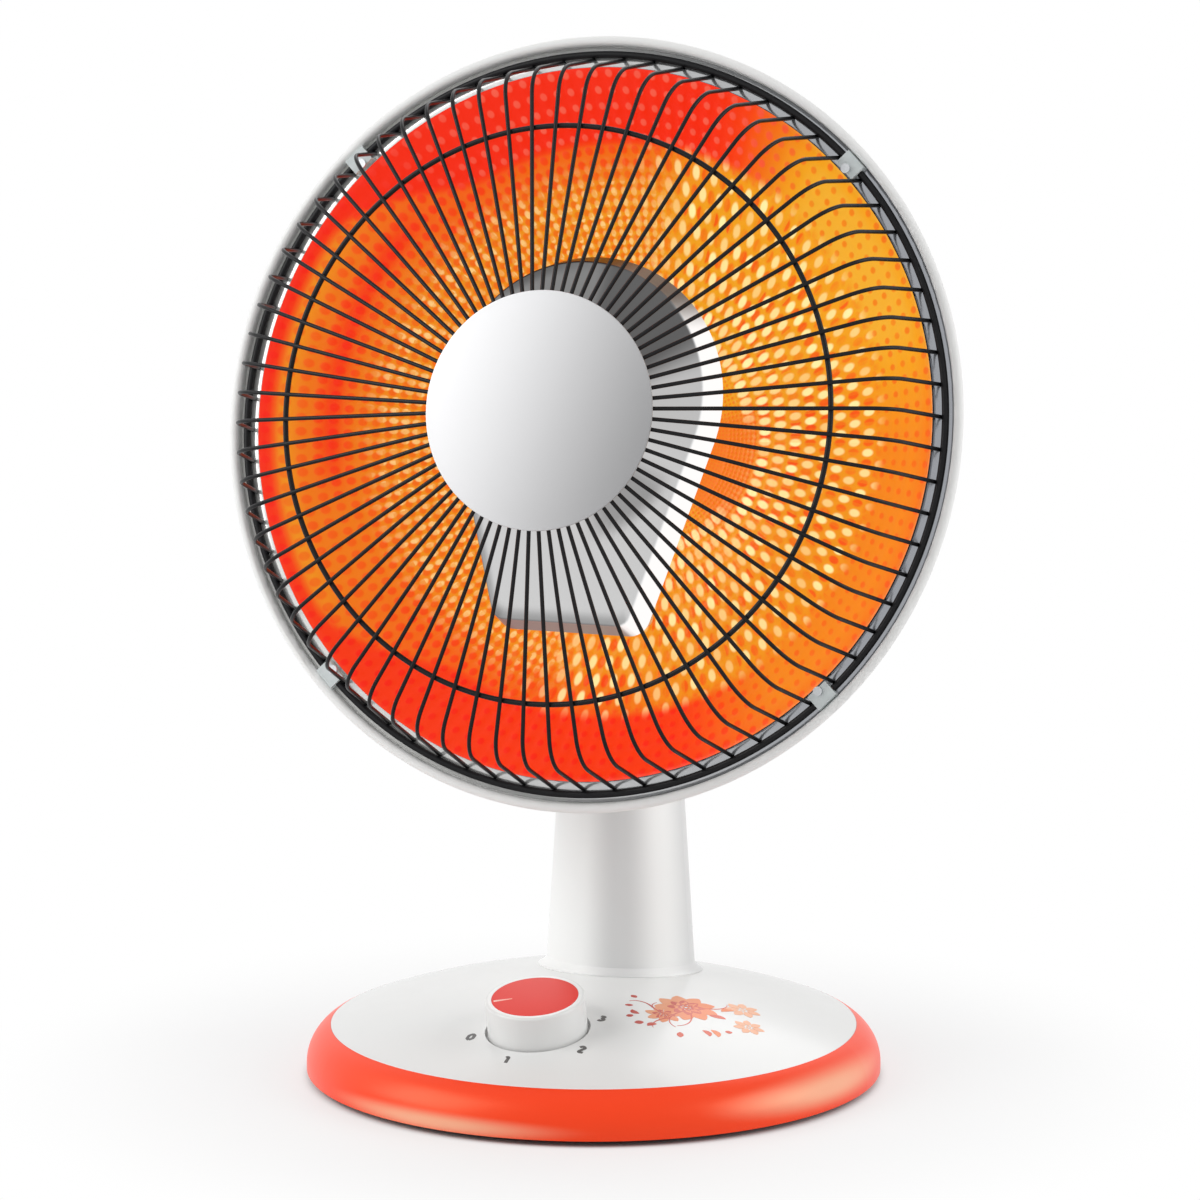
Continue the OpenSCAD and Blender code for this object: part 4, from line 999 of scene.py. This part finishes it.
@dataclass
class Guard:
    """Wire guard: bent spokes, three hoops, a crowned disc and its clamp."""

    space: HeadSpace
    palette: Palette
    spokes: int = 72
    phase: float = 3.8
    wire_d: float = 1.9
    rim_hoop: tuple[float, float] = (171.4, 3.4)
    mid_hoop: tuple[float, float] = (131.8, 2.5)
    disc_r: float = 54.5
    front_z: float = 63.2
    mid_z: float = 48.7
    bend_r: float = 18.0
    lean: float = 0.215
    end_z: float = -1.2
    gap: float = 0.02
    crown: float = 1.2

    tuck: float = 5.5
    inset: float = 4.0
    disc_t: float = 0.8
    plate_t: float = 1.2
    stud_r: float = 3.0

    @property
    def slope(self) -> float:
        """Fall of the spokes for each millimetre outwards."""
        return (self.front_z - self.mid_z) / (self.mid_hoop[0] - self.disc_r)

    def wire_z(self, r: float) -> float:
        """Height of a spoke's centre line at radius r: a straight fall from the disc's edge."""
        return self.front_z - self.slope * (r - self.disc_r)

    @property
    def hub_hoop(self) -> Span:
        """Radius and thickness of the smallest hoop, under the disc's edge."""
        return self.disc_r - self.inset, self.mid_hoop[1]

    def hung_z(self, radius: float, wire: float) -> float:
        """Height of the centre line of a hoop that hangs under the spokes."""
        fall = np.cos(np.arctan(self.slope))
        return self.wire_z(radius) - ((self.wire_d + wire) / 2 + self.gap) / fall

    def spoke_path(self) -> np.ndarray:
        """Centre line of one spoke: a straight front, an arc and a leaning side.

        Returns:
            Rows of radius and height.
        """
        rim = self.rim_hoop[0] - (self.rim_hoop[1] + self.wire_d) / 2 - self.gap
        corner = (rim - self.lean * (self.front_z + self.slope * self.disc_r)) / (1 - self.slope * self.lean)
        start = self.disc_r - self.tuck
        return rounded([(start, self.wire_z(start), 0), (corner, self.wire_z(corner), self.bend_r),
                        (rim - self.lean * self.end_z, self.end_z, 0)], 12)

    def build_spokes(self) -> None:
        """Sweeps a circle along the path, for all spokes at once.

        Each ring is the path's point plus the wire's radius times the cosine along the normal and the sine along
        the direction round the guard.
        """
        path = self.spoke_path()
        run = np.gradient(path, axis=0)
        run /= np.linalg.norm(run, axis=1)[:, None]
        normal = np.stack([-run[:, 1], run[:, 0]], -1)
        a = np.arange(10) * TAU / 10
        radius = self.wire_d / 2
        r = path[:, None, 0] + radius * np.cos(a) * normal[:, None, 0]
        z = path[:, None, 1] + radius * np.cos(a) * normal[:, None, 1]
        side = np.broadcast_to(radius * np.sin(a), r.shape)
        turns = np.radians(self.phase) + np.arange(self.spokes) * TAU / self.spokes
        c, s = np.cos(turns)[:, None, None], np.sin(turns)[:, None, None]
        grids = np.stack([r * c - side * s, r * s + side * c, np.broadcast_to(z, (self.spokes, *z.shape))], -1)
        sheets = [Sheet(grid, capped=True) for grid in self.space.to_frame(grids)]
        self.palette.finish(new_mesh("guard_spokes", sheets, 60), "head", "guard_black", ["guard_wires"])

    def build_hoops(self) -> None:
        """Three rings, each a small circle turned about the head's axis; the inner two hang under the spokes."""
        a = np.arange(14) * TAU / 14
        sheets = []
        for radius, wire in (self.rim_hoop, self.mid_hoop, self.hub_hoop):
            z = 0.0 if radius == self.rim_hoop[0] else self.hung_z(radius, wire)
            section = np.stack([radius + wire / 2 * np.cos(a), z + wire / 2 * np.sin(a)], -1)
            sheets.append(Sheet(self.space.to_frame(turned(section, 240)), loop=True))
        self.palette.finish(new_mesh("guard_hoops", sheets, 60), "head", "guard_black", ["guard_rings"])

    def build_disc(self) -> None:
        """Crowned disc with a soft edge, its stud and the plate that clamps the hub hoop."""
        low = self.wire_z(self.disc_r - self.tuck) + self.wire_d / 2 + 0.05
        top = low + self.disc_t
        t = np.linspace(1, 0, 14)[:-1]
        crown = np.stack([(self.disc_r - 0.5) * t, top + self.crown * (1 - t**2)], -1)
        edge = rounded([(self.disc_r - 1.2, low, 0), (self.disc_r, low, 0.3), (self.disc_r, top, 0.35),
                        (self.disc_r - 0.5, top + 0.01, 0)], 4)
        hub, wire = self.hub_hoop
        plate_top = self.hung_z(hub, wire) - wire / 2 - self.gap
        plate_low, plate_r = plate_top - self.plate_t, hub + 1.6
        under = np.array([[0.4, plate_low], [plate_r, plate_low], [plate_r, plate_top],
                          [self.stud_r, plate_top], [self.stud_r, low]])
        profile = np.vstack([under, edge, crown[1:], [[0.4, top + self.crown]]])
        piece = new_mesh("centre_disc", [Sheet(self.space.to_frame(turned(profile, 144)), capped=True)], 40)
        self.palette.finish(piece, "head", "disc", ["guard_disc"])

    def build(self) -> None:
        """Makes every piece of the guard."""
        self.build_spokes()
        self.build_hoops()
        self.build_disc()


# ---- pan of the heating element


@dataclass
class Pan:
    """Keyhole-shaped polished pan, open at the back, that hides the tube."""

    space: HeadSpace
    palette: Palette
    circles: tuple[tuple[float, float, float], ...] = ((0, 12, 65), (28, -87, 10), (-28, -87, 10))
    front: float = 18.0
    back: float = 1.0
    wall: float = 1.0
    bend: float = 1.2
    draft: float = 3.6
    middle: Span = (0.0, -5.0)
    shade_centre: Span = (-4.0, 2.0)

    # Painted tones of the face: its even tone with two faint painted shades, and the two lobes of the disc's
    # painted shadow.
    FACE = (Zone(0.83), Zone(-0.2, -50, 10, 20, fall=(54, 62)), Zone(-0.04, 10, 10, 20))
    SHADOW = (Zone(0.44, 56, 18, 20), Zone(0.3, 92, 14, 38))

    def outline(self, inset: float, count: int = 240) -> np.ndarray:
        """Outline of the circles' hull moved inwards.

        For each direction the farthest of the circles gives its point. The chain is then cut into equal steps.

        Args:
            inset: how far the outline moves inwards.
            count: number of points.

        Returns:
            The outline's points.
        """
        a = np.arange(1440) * TAU / 1440
        normal = np.stack([np.cos(a), np.sin(a)], -1)
        circles = np.array(self.circles)
        reach = normal @ circles[:, :2].T + circles[:, 2]
        best = circles[np.argmax(reach, 1)]
        chain = best[:, :2] + normal * (best[:, 2:] - inset)
        chain = np.vstack([chain, chain[:1]])
        run = np.concatenate([[0], np.cumsum(np.linalg.norm(np.diff(chain, axis=0), axis=1))])
        places = np.arange(count) / count * run[-1]
        return np.stack([np.interp(places, run, chain[:, k]) for k in range(2)], -1)

    def level(self, ring: np.ndarray, z: float, share: float = 1.0) -> np.ndarray:
        """One row: the ring drawn towards the pan's middle by the share, at height z."""
        middle = np.array(self.middle)
        return np.column_stack([middle + (ring - middle) * share, np.full(len(ring), z)])

    def tones(self, points: np.ndarray, lift: np.ndarray, rim: np.ndarray) -> np.ndarray:
        """Painted tones of the pan, with the disc's painted shadow up on the right of its face.

        Args:
            points: rows by columns of places on the pan.
            lift: how far each row faces forward: 1 on the face, 0 on the wall.
            rim: how near each row is to the face's edge.

        Returns:
            Linear grey of each point, with the share that shines by itself, a painted glow, as alpha. The wall
            has a painted highlight where it faces right and painted shade where it faces up, and the face's
            edge has painted shade at the left and at the foot.
        """
        away = points[..., :2] - np.array(self.shade_centre)
        degrees, far = np.degrees(np.arctan2(away[..., 1], away[..., 0])), np.hypot(away[..., 0], away[..., 1])
        side = np.gradient(points[..., :2], axis=1)
        side = side / np.maximum(np.linalg.norm(side, axis=-1, keepdims=True), 1e-9)
        out, up = side[..., 1], -side[..., 0]
        # Painted shade and the disc's painted shadow on the face; painted highlight and shade on the wall by how
        # it faces.
        face = sum(zone.add(far, degrees) for zone in self.FACE)
        face = face - np.max([zone.add(far, degrees) for zone in self.SHADOW], 0)
        face = face - 0.18 * rim * (1 - smooth(-0.7, 0.3, out)) - 0.15 * rim * smooth(0.3, 0.9, -up)
        wall = 0.42 + 0.58 * smooth(-0.1, 0.4, out) - 0.64 * smooth(0.5, 0.8, up)
        tone = lift * face + (1 - lift) * wall
        grey = linear(np.clip(tone, 0, 1))
        return np.stack([grey, grey, grey, 0.8 + 0.15 * (1 - lift) + 0 * grey], -1)

    def build(self) -> None:
        """Makes the pan as one closed sheet from its inner face round the wall's edge to its outer face."""
        lid = self.outline(self.draft + self.wall)
        rows = [self.level(lid, self.front - self.wall, s) for s in (0.02, 0.3, 0.6, 0.9, 1.0)]
        rows += [self.level(self.outline(self.wall), self.back), self.level(self.outline(0.0), self.back)]
        for share in np.linspace(0, 1, 6)[1:]:
            z = self.back + share * (self.front - self.bend - self.back)
            rows.append(self.level(self.outline(self.draft * share), z))
        lift = [0.0] * len(rows)
        for a in np.linspace(0, np.pi / 2, 6)[1:]:
            inset = self.draft + self.bend * (1 - np.cos(a))
            rows.append(self.level(self.outline(inset), self.front - self.bend * (1 - np.sin(a))))
            lift.append(float(np.sin(a) ** 4))
        face = self.outline(self.draft + self.bend)
        shares = 1 - np.linspace(0, 0.98**0.5, 30)[1:] ** 2
        rim = [1.0] * len(rows) + smooth(0.93, 1.0, shares).tolist()
        rows += [self.level(face, self.front, float(s)) for s in shares]
        lift += [1.0] * len(shares)
        points = np.stack(rows)
        tones = self.tones(points, np.array(lift)[:, None], np.array(rim)[:, None])
        piece = new_mesh("element_pan", [Sheet(self.space.to_frame(points), capped=True)], 50)
        paint_points(piece.data, "tone", tones)
        self.palette.finish(piece, "head", "chrome", ["shield"], ("pan_sheet", ToneMetal()))


# ---- base


@dataclass
class Dome:
    """The base's domed top as a sphere's cap, on which the print and the dial lie."""

    seam_r: float = 124.0
    seam_z: float = 24.0
    rise: float = 22.5

    def height(self, x: np.ndarray, y: np.ndarray) -> np.ndarray:
        """Height of the cap: the sphere through the seam and the top."""
        ball = (self.seam_r**2 + self.rise**2) / (2 * self.rise)
        return self.seam_z + self.rise - ball + np.sqrt(ball**2 - x**2 - y**2)

    def ribbon(self, path: np.ndarray, width: np.ndarray, thick: float = 0.09) -> Sheet:
        """Lays a flat stroke on the dome.

        Args:
            path: its centre line as rows of x and y.
            width: its full width at each point.
            thick: how far the ink stands above the dome.

        Returns:
            A closed strip: the path moved half its width to each side, above and just below the dome's face.
        """
        run = np.gradient(path, axis=0)
        run /= np.maximum(np.linalg.norm(run, axis=1), 1e-9)[:, None]
        side = np.stack([-run[:, 1], run[:, 0]], -1) * width[:, None] / 2
        sides = np.stack([path + side, path - side, path - side, path + side], 1)
        z = self.height(sides[..., 0], sides[..., 1]) + np.array([thick, thick, -0.2, -0.2])
        return Sheet(np.concatenate([sides, z[..., None]], -1), capped=True)


class Digit(Enum):
    """Settings of the dial, each with the corners of its figure in a box one wide and two high."""

    OFF = ((0.5, 0.0), (1.0, 0.5), (1.0, 1.5), (0.5, 2.0), (0.0, 1.5), (0.0, 0.5), (0.5, 0.0))
    ONE = ((0.15, 1.55), (0.6, 2.0), (0.6, 0.0))
    TWO = ((0.0, 1.55), (0.45, 2.0), (1.0, 1.5), (0.05, 0.02), (1.05, 0.02))
    THREE = ((0.0, 1.85), (0.95, 1.85), (0.4, 1.1), (1.0, 0.65), (0.45, 0.0), (0.0, 0.25))


@dataclass
class Dial:
    """Figures round the knob, and the knob's pointer."""

    dome: Dome
    palette: Palette
    knob_y: float = -73.8
    knob_tilt: float = 12.4
    knob_h: float = 15.6
    cap_r: float = 20.0
    cap_crown: float = 0.4
    radius: float = 30.6
    figure_h: float = 5.4
    stroke: float = 1.6
    corner_r: float = 0.22
    places: tuple[float, ...] = (-66.0, -6.0, 62.0, 124.0)
    pointer_at: float = -64.0

    def figure(self, digit: Digit, place: float) -> Sheet:
        """One figure, upright as seen from the front, its corners softened.

        Args:
            digit: the setting.
            place: where it stands round the knob, in degrees from the front to the right.

        Returns:
            Its stroke.
        """
        corners = [(x, y, self.corner_r) for x, y in digit.value]
        path = (rounded(corners, 4) - np.array([0.5, 1.0])) * self.figure_h / 2
        a = np.radians(place)
        centre = np.array([self.radius * np.sin(a), self.knob_y - self.radius * np.cos(a)])
        return self.dome.ribbon(path + centre, np.full(len(path), self.stroke))

    def pointer(self) -> Sheet:
        """Tapered mark on the knob's insert: a flat strip along a radius, laid on the crowned face.

        Returns:
            The strip, turned and placed with the knob.
        """
        r = np.linspace(0.52, 0.95, 8) * self.cap_r
        half = np.linspace(0.35, 0.8, 8)
        a = np.radians(self.pointer_at)
        out, side = np.array([np.sin(a), -np.cos(a)]), np.array([np.cos(a), np.sin(a)])
        line = r[:, None, None] * out + half[:, None, None] * np.array([-1, 1, 1, -1])[:, None] * side
        face = self.knob_h + self.cap_crown * (1 - (r / self.cap_r) ** 2)
        z = face[:, None] + np.array([-0.1, -0.1, 0.05, 0.05])
        local = np.concatenate([line, z[..., None]], -1)
        t = np.radians(self.knob_tilt)
        axes = np.array([[1, 0, 0], [0, np.cos(t), np.sin(t)], [0, -np.sin(t), np.cos(t)]])
        foot = np.array([0, self.knob_y, float(self.dome.height(np.zeros(1), np.array([self.knob_y]))[0])])
        return Sheet(local @ axes + foot, capped=True)

    def build(self) -> None:
        """Prints the figures on the dome and the pointer on the knob."""
        sheets = [self.figure(d, p) for d, p in zip(Digit, self.places)]
        ink = Ink(shade(0.3, 0.29, 0.29), shade(0.34, 0.33, 0.32), -40, 40)
        self.palette.finish(new_mesh("dial_figures", sheets), "base", "black_plastic", own=("dial_ink", ink))
        pale = Ink(shade(0.98, 0.8, 0.74), shade(0.96, 0.62, 0.55), -20, -8)
        self.palette.finish(new_mesh("knob_pointer", [self.pointer()]), "selector", "white_plastic",
                            own=("pointer_ink", pale))


@dataclass
class Spray:
    """Printed spray of flowers on the dome: open blossoms, tendrils and loose petals."""

    dome: Dome
    palette: Palette
    centre: Span = (64.0, -30.0)

    # Each ink with its blossoms (x, y, size, petals, turn), its tendrils (x, y, heading, length, bend, width) and
    # its loose petals (x, y, heading, length, width, bow).
    INKS = {
        "strong": (Ink(shade(0.72, 0.2, 0.12), shade(0.86, 0.32, 0.16), 38, 70),
                   ((-9, 5, 9, 8, 0.45), (-15, -9, 5.5, 6, 0.2)),
                   ((-8, 1, -2.0, 24, 1.6, 1.2), (-14, -8, 2.9, 17, -1.9, 1.1), (-5, 0, -1.1, 20, -1.4, 1.0),
                    (-4, 8, 0.5, 20, 1.5, 1.0), (-22, -4, 2.4, 15, 1.6, 1.0), (-12, -12, -2.2, 15, 1.3, 1.0)),
                   ((-20, -22, 3.7, 4.5, 3.4), (-2, -23, -1.2, 5, 3.2), (-33, 4, 2.6, 4, 3.0),
                    (-27, -17, 3.9, 3.6, 2.8), (-25, -14, 2.6, 5.5, 3.0, 0.2), (-14, -21, 4.0, 5, 3.0, -0.2),
                    (-31, -6, 3.5, 4, 2.4), (6, -15, -0.6, 6, 3.0, 0.2), (15, -9, 0.4, 3.4, 2.6),
                    (3, 3, 0.2, 8, 3.6, 0.1))),
        "tan": (Ink(shade(0.86, 0.56, 0.38), shade(0.93, 0.5, 0.26), 40, 66),
                ((-9, 5, 15, 9, 0.1), (-15, -9, 9, 7, 0.5)), (),
                ((6, 12, 0.9, 7, 3.2, 0.2), (9, -12, -0.7, 7, 3.2, 0.2))),
        "pale": (Ink(shade(0.95, 0.7, 0.55), shade(0.93, 0.66, 0.5), 70, 92),
                 ((13, 22, 8.5, 7, 1.0), (22, 4, 7.5, 7, 0.2)), (), ()),
    }

    def stroke(self, x: np.ndarray, y: np.ndarray, width: np.ndarray) -> Sheet:
        """A stroke through points given from the print's centre."""
        return self.dome.ribbon(np.stack([x + self.centre[0], y + self.centre[1]], -1), width)

    def petal(self, x: float, y: float, heading: float, length: float, width: float, bow: float = 0.0) -> Sheet:
        """A filled petal: a bowed line, as wide as the sine of the share run to the power 0.8.

        Args:
            x: its root's place across the print.
            y: its root's place up the print.
            heading: where it points, in radians.
            length: its length.
            width: its greatest width.
            bow: how far it bows, as a share of its length.

        Returns:
            Its stroke.
        """
        t = np.linspace(0.02, 0.98, 12)
        along, aside = length * t, bow * length * np.sin(np.pi * t)
        c, s = np.cos(heading), np.sin(heading)
        return self.stroke(x + along * c - aside * s, y + along * s + aside * c, width * np.sin(np.pi * t) ** 0.8)

    def curl(self, x: float, y: float, heading: float, length: float, bend: float, width: float) -> Sheet:
        """A tendril: a line whose heading grows with the square of the share run, thinning to its tip.

        Args:
            x: its root's place across the print.
            y: its root's place up the print.
            heading: where it starts off, in radians.
            length: its length.
            bend: how far its heading turns.
            width: its width at the root.

        Returns:
            Its stroke.
        """
        t = np.linspace(0, 1, 24)
        h = heading + bend * t**2
        px = x + np.concatenate([[0], np.cumsum(np.cos(h[1:]))]) * length / 24
        py = y + np.concatenate([[0], np.cumsum(np.sin(h[1:]))]) * length / 24
        return self.stroke(px, py, width * (1 - 0.8 * t))

    def blossom(self, x: float, y: float, size: float, petals: int, turn: float) -> list[Sheet]:
        """An open flower: petals round a small ring.

        Args:
            x: its middle's place across the print.
            y: its middle's place up the print.
            size: how far the petals reach.
            petals: their number.
            turn: heading of the first one, in radians.

        Returns:
            Its strokes.
        """
        out = []
        for k in range(petals):
            h = turn + k * TAU / petals
            out.append(self.petal(x + 0.22 * size * np.cos(h), y + 0.22 * size * np.sin(h), h, 0.78 * size,
                                  0.5 * size, 0.05))
        a = np.linspace(0, TAU, 20)
        out.append(self.stroke(x + 0.12 * size * np.cos(a), y + 0.12 * size * np.sin(a), np.full(20, 0.5)))
        return out

    def build(self) -> None:
        """Prints the spray, one piece for each ink."""
        for name, (ink, blossoms, curls, petals) in self.INKS.items():
            sheets = [sheet for blossom in blossoms for sheet in self.blossom(*blossom)]
            sheets += [self.curl(*curl) for curl in curls] + [self.petal(*petal) for petal in petals]
            self.palette.finish(new_mesh("spray_" + name, sheets), "base", "orange_plastic",
                                own=(f"spray_{name}_ink", ink))


# ---- frame finishes


class FrameDresser:
    """Gives every CAD node that stays in view its slot's material, or its own with painted shade where the studio
    shows in it.
    """

    # The column's painted shade: soft darker bands down its middle and at its right side.
    OWN = {"column": Glossed(shade(0.96, 0.96, 0.955), shade(0.8, 0.8, 0.8),
                             ((20, 34, 90, 400), (98, 40, 90, 400)), (1.0, 1.0, 1.0), 36.8)}

    def __init__(self, packed: dict[str, Any], palette: Palette) -> None:
        """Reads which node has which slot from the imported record.

        Args:
            palette: the finishes.
        """
        self.nodes = packed["nodes"]
        self.palette = palette
        self.slots = {part["node"]: part["material_slot"] for part in packed["record"]["subparts"]}

    def dress(self) -> None:
        """Replaces the imported materials of all nodes."""
        for name, node in self.nodes.items():
            own = self.OWN.get(name)
            material = self.palette.get(name if own else self.slots[name], own)
            node.data.materials.clear()
            node.data.materials.append(material)
            LOG.info("%s wears %s", name, material.name)


# ---- studio


def facing(azimuth: float, elevation: float) -> tuple[np.ndarray, np.ndarray, np.ndarray]:
    """Directions of what looks at the heater from around it.

    Args:
        azimuth: where it stands, in degrees from the front to the right.
        elevation: how far above level, in degrees.

    Returns:
        Its right, up and backward directions.
    """
    a, e = np.radians(azimuth), np.radians(elevation)
    back = np.array([np.sin(a) * np.cos(e), -np.cos(a) * np.cos(e), np.sin(e)])
    right = np.array([np.cos(a), np.sin(a), 0.0])
    return right, np.cross(back, right), back


def stand(item: bpy.types.Object, axes: Sequence[np.ndarray], place: np.ndarray) -> None:
    """Puts an object at a place, turned to those axes."""
    rows = [[*(float(axis[k]) for axis in axes), float(place[k])] for k in range(3)]
    item.matrix_world = Matrix(rows + [[0, 0, 0, 1]])


@dataclass
class Studio:
    """Pale floor and background, three soft lamps, and the camera at the photograph's angle.

    Attributes:
        azimuth: where the camera stands, in degrees from the front to the right.
        elevation: how far above level it stands, in degrees.
        distance: its distance from its target, in metres.
        lens: focal length in millimetres on the sensor's width.
        sensor: that width in millimetres.
        aside: how far the camera moves to its right, in metres.
        target_z: height of its target, in metres.
        world_light: strength of the even light on the object.
        lamp_away: distance of the lamps from their target, in metres.
        lamp_z: height of that target, in metres.
        lamps: name, azimuth, elevation, size in metres and power in watts of each.
        clearing: the two steps from the floor's card to plain white: share, and radii in metres.
    """

    azimuth: float = 20.36
    elevation: float = 9.85
    distance: float = 2.5
    lens: float = 161.1
    sensor: float = 36.0
    aside: float = 0.00298
    target_z: float = 0.22568
    world_light: float = 0.45
    lamp_away: float = 2.6
    lamp_z: float = 0.25
    lamps: tuple[tuple[str, float, float, float, float], ...] = (
        ("key", -54, 28, 1.8, 38), ("fill", 94, 22, 1.6, 28), ("back", 190, 40, 1.6, 12))
    clearing: tuple[tuple[float, float, float], ...] = ((0.62, 0.131, 0.139), (0.38, 0.14, 0.3))

    def add_camera(self) -> None:
        """Places the camera."""
        right, up, back = facing(self.azimuth, self.elevation)
        data = bpy.data.cameras.new("camera")
        data.lens, data.sensor_width, data.clip_end = self.lens, self.sensor, 50.0
        camera = link_new("camera", data)
        stand(camera, (right, up, back),
              right * self.aside + np.array([0, 0, self.target_z]) + back * self.distance)
        bpy.context.scene.camera = camera

    def add_lamps(self) -> None:
        """Square soft lamps that face the heater."""
        for name, azimuth, elevation, size, power in self.lamps:
            axes = facing(azimuth, elevation)
            data = bpy.data.lights.new(name, "AREA")
            data.size, data.energy = size, power
            stand(link_new(name, data), axes, axes[2] * self.lamp_away + np.array([0, 0, self.lamp_z]))

    @staticmethod
    def seen(g: Graph) -> Value:
        """Which rays see the white studio.

        Args:
            g: the graph of the floor or the world.

        Returns:
            1 for camera, mirror and transmission rays, else 0.
        """
        path = g.node("LightPath")
        camera, glossy, through = (
            g.value(path, f"Is {ray} Ray") for ray in ("Camera", "Glossy", "Transmission"))
        return camera.larger(glossy).larger(through)

    def add_world(self) -> None:
        """Even light for the object, and plain white for what the camera and mirrors see."""
        g = Graph("studio", "worlds")
        bpy.context.scene.world = g.owner
        lit = self.world_light
        colour = g.mix(self.seen(g), (lit, lit, lit), (1.0, 1.0, 1.0))
        g.node("OutputWorld", {"Surface": g.node("Background", {"Color": colour, "Strength": 1.0})})

    def add_floor(self) -> None:
        """A wide floor: a card that keeps the heater's shadow, fading to plain white from the base outwards."""
        mesh = bpy.data.meshes.new("floor")
        mesh.from_pydata([(-9, -9, 0), (9, -9, 0), (9, 9, 0), (-9, 9, 0)], [], [(0, 1, 2, 3)])
        floor = link_new("floor", mesh)
        g = Graph("floor")
        card = g.node("BsdfPrincipled", {
            "Base Color": g.mix(g.noise(3, 2), (0.83, 0.83, 0.83), (0.8, 0.8, 0.8)), "Roughness": 0.6,
            "Specular IOR Level": 0.2})
        white = g.node("Emission", {"Color": (1, 1, 1), "Strength": 1.0})
        x, y, _ = g.parts()
        radius = (x * x + y * y).root()
        near, far = (share * radius.step(start, end) for share, start, end in self.clearing)
        mixed = g.node("MixShader", {0: self.seen(g) * (near + far), 1: card, 2: white})
        g.node("OutputMaterial", {"Surface": mixed})
        mesh.materials.append(g.owner)

    def build(self) -> None:
        """Sets up the whole studio."""
        bpy.context.scene.view_settings.view_transform = "Standard"
        self.add_camera()
        self.add_world()
        self.add_floor()
        self.add_lamps()


def main(packed: dict[str, Any]) -> None:
    logging.basicConfig(level=logging.INFO, format="%(name)s: %(message)s")
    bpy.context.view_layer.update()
    palette = Palette()
    FrameDresser(packed, palette).dress()
    space = HeadSpace()
    Dish(space, palette).build()
    Guard(space, palette).build()
    Pan(space, palette).build()
    dome = Dome()
    Dial(dome, palette).build()
    Spray(dome, palette).build()
    Studio().build()


if __name__ == "__main__":
    main(frame)
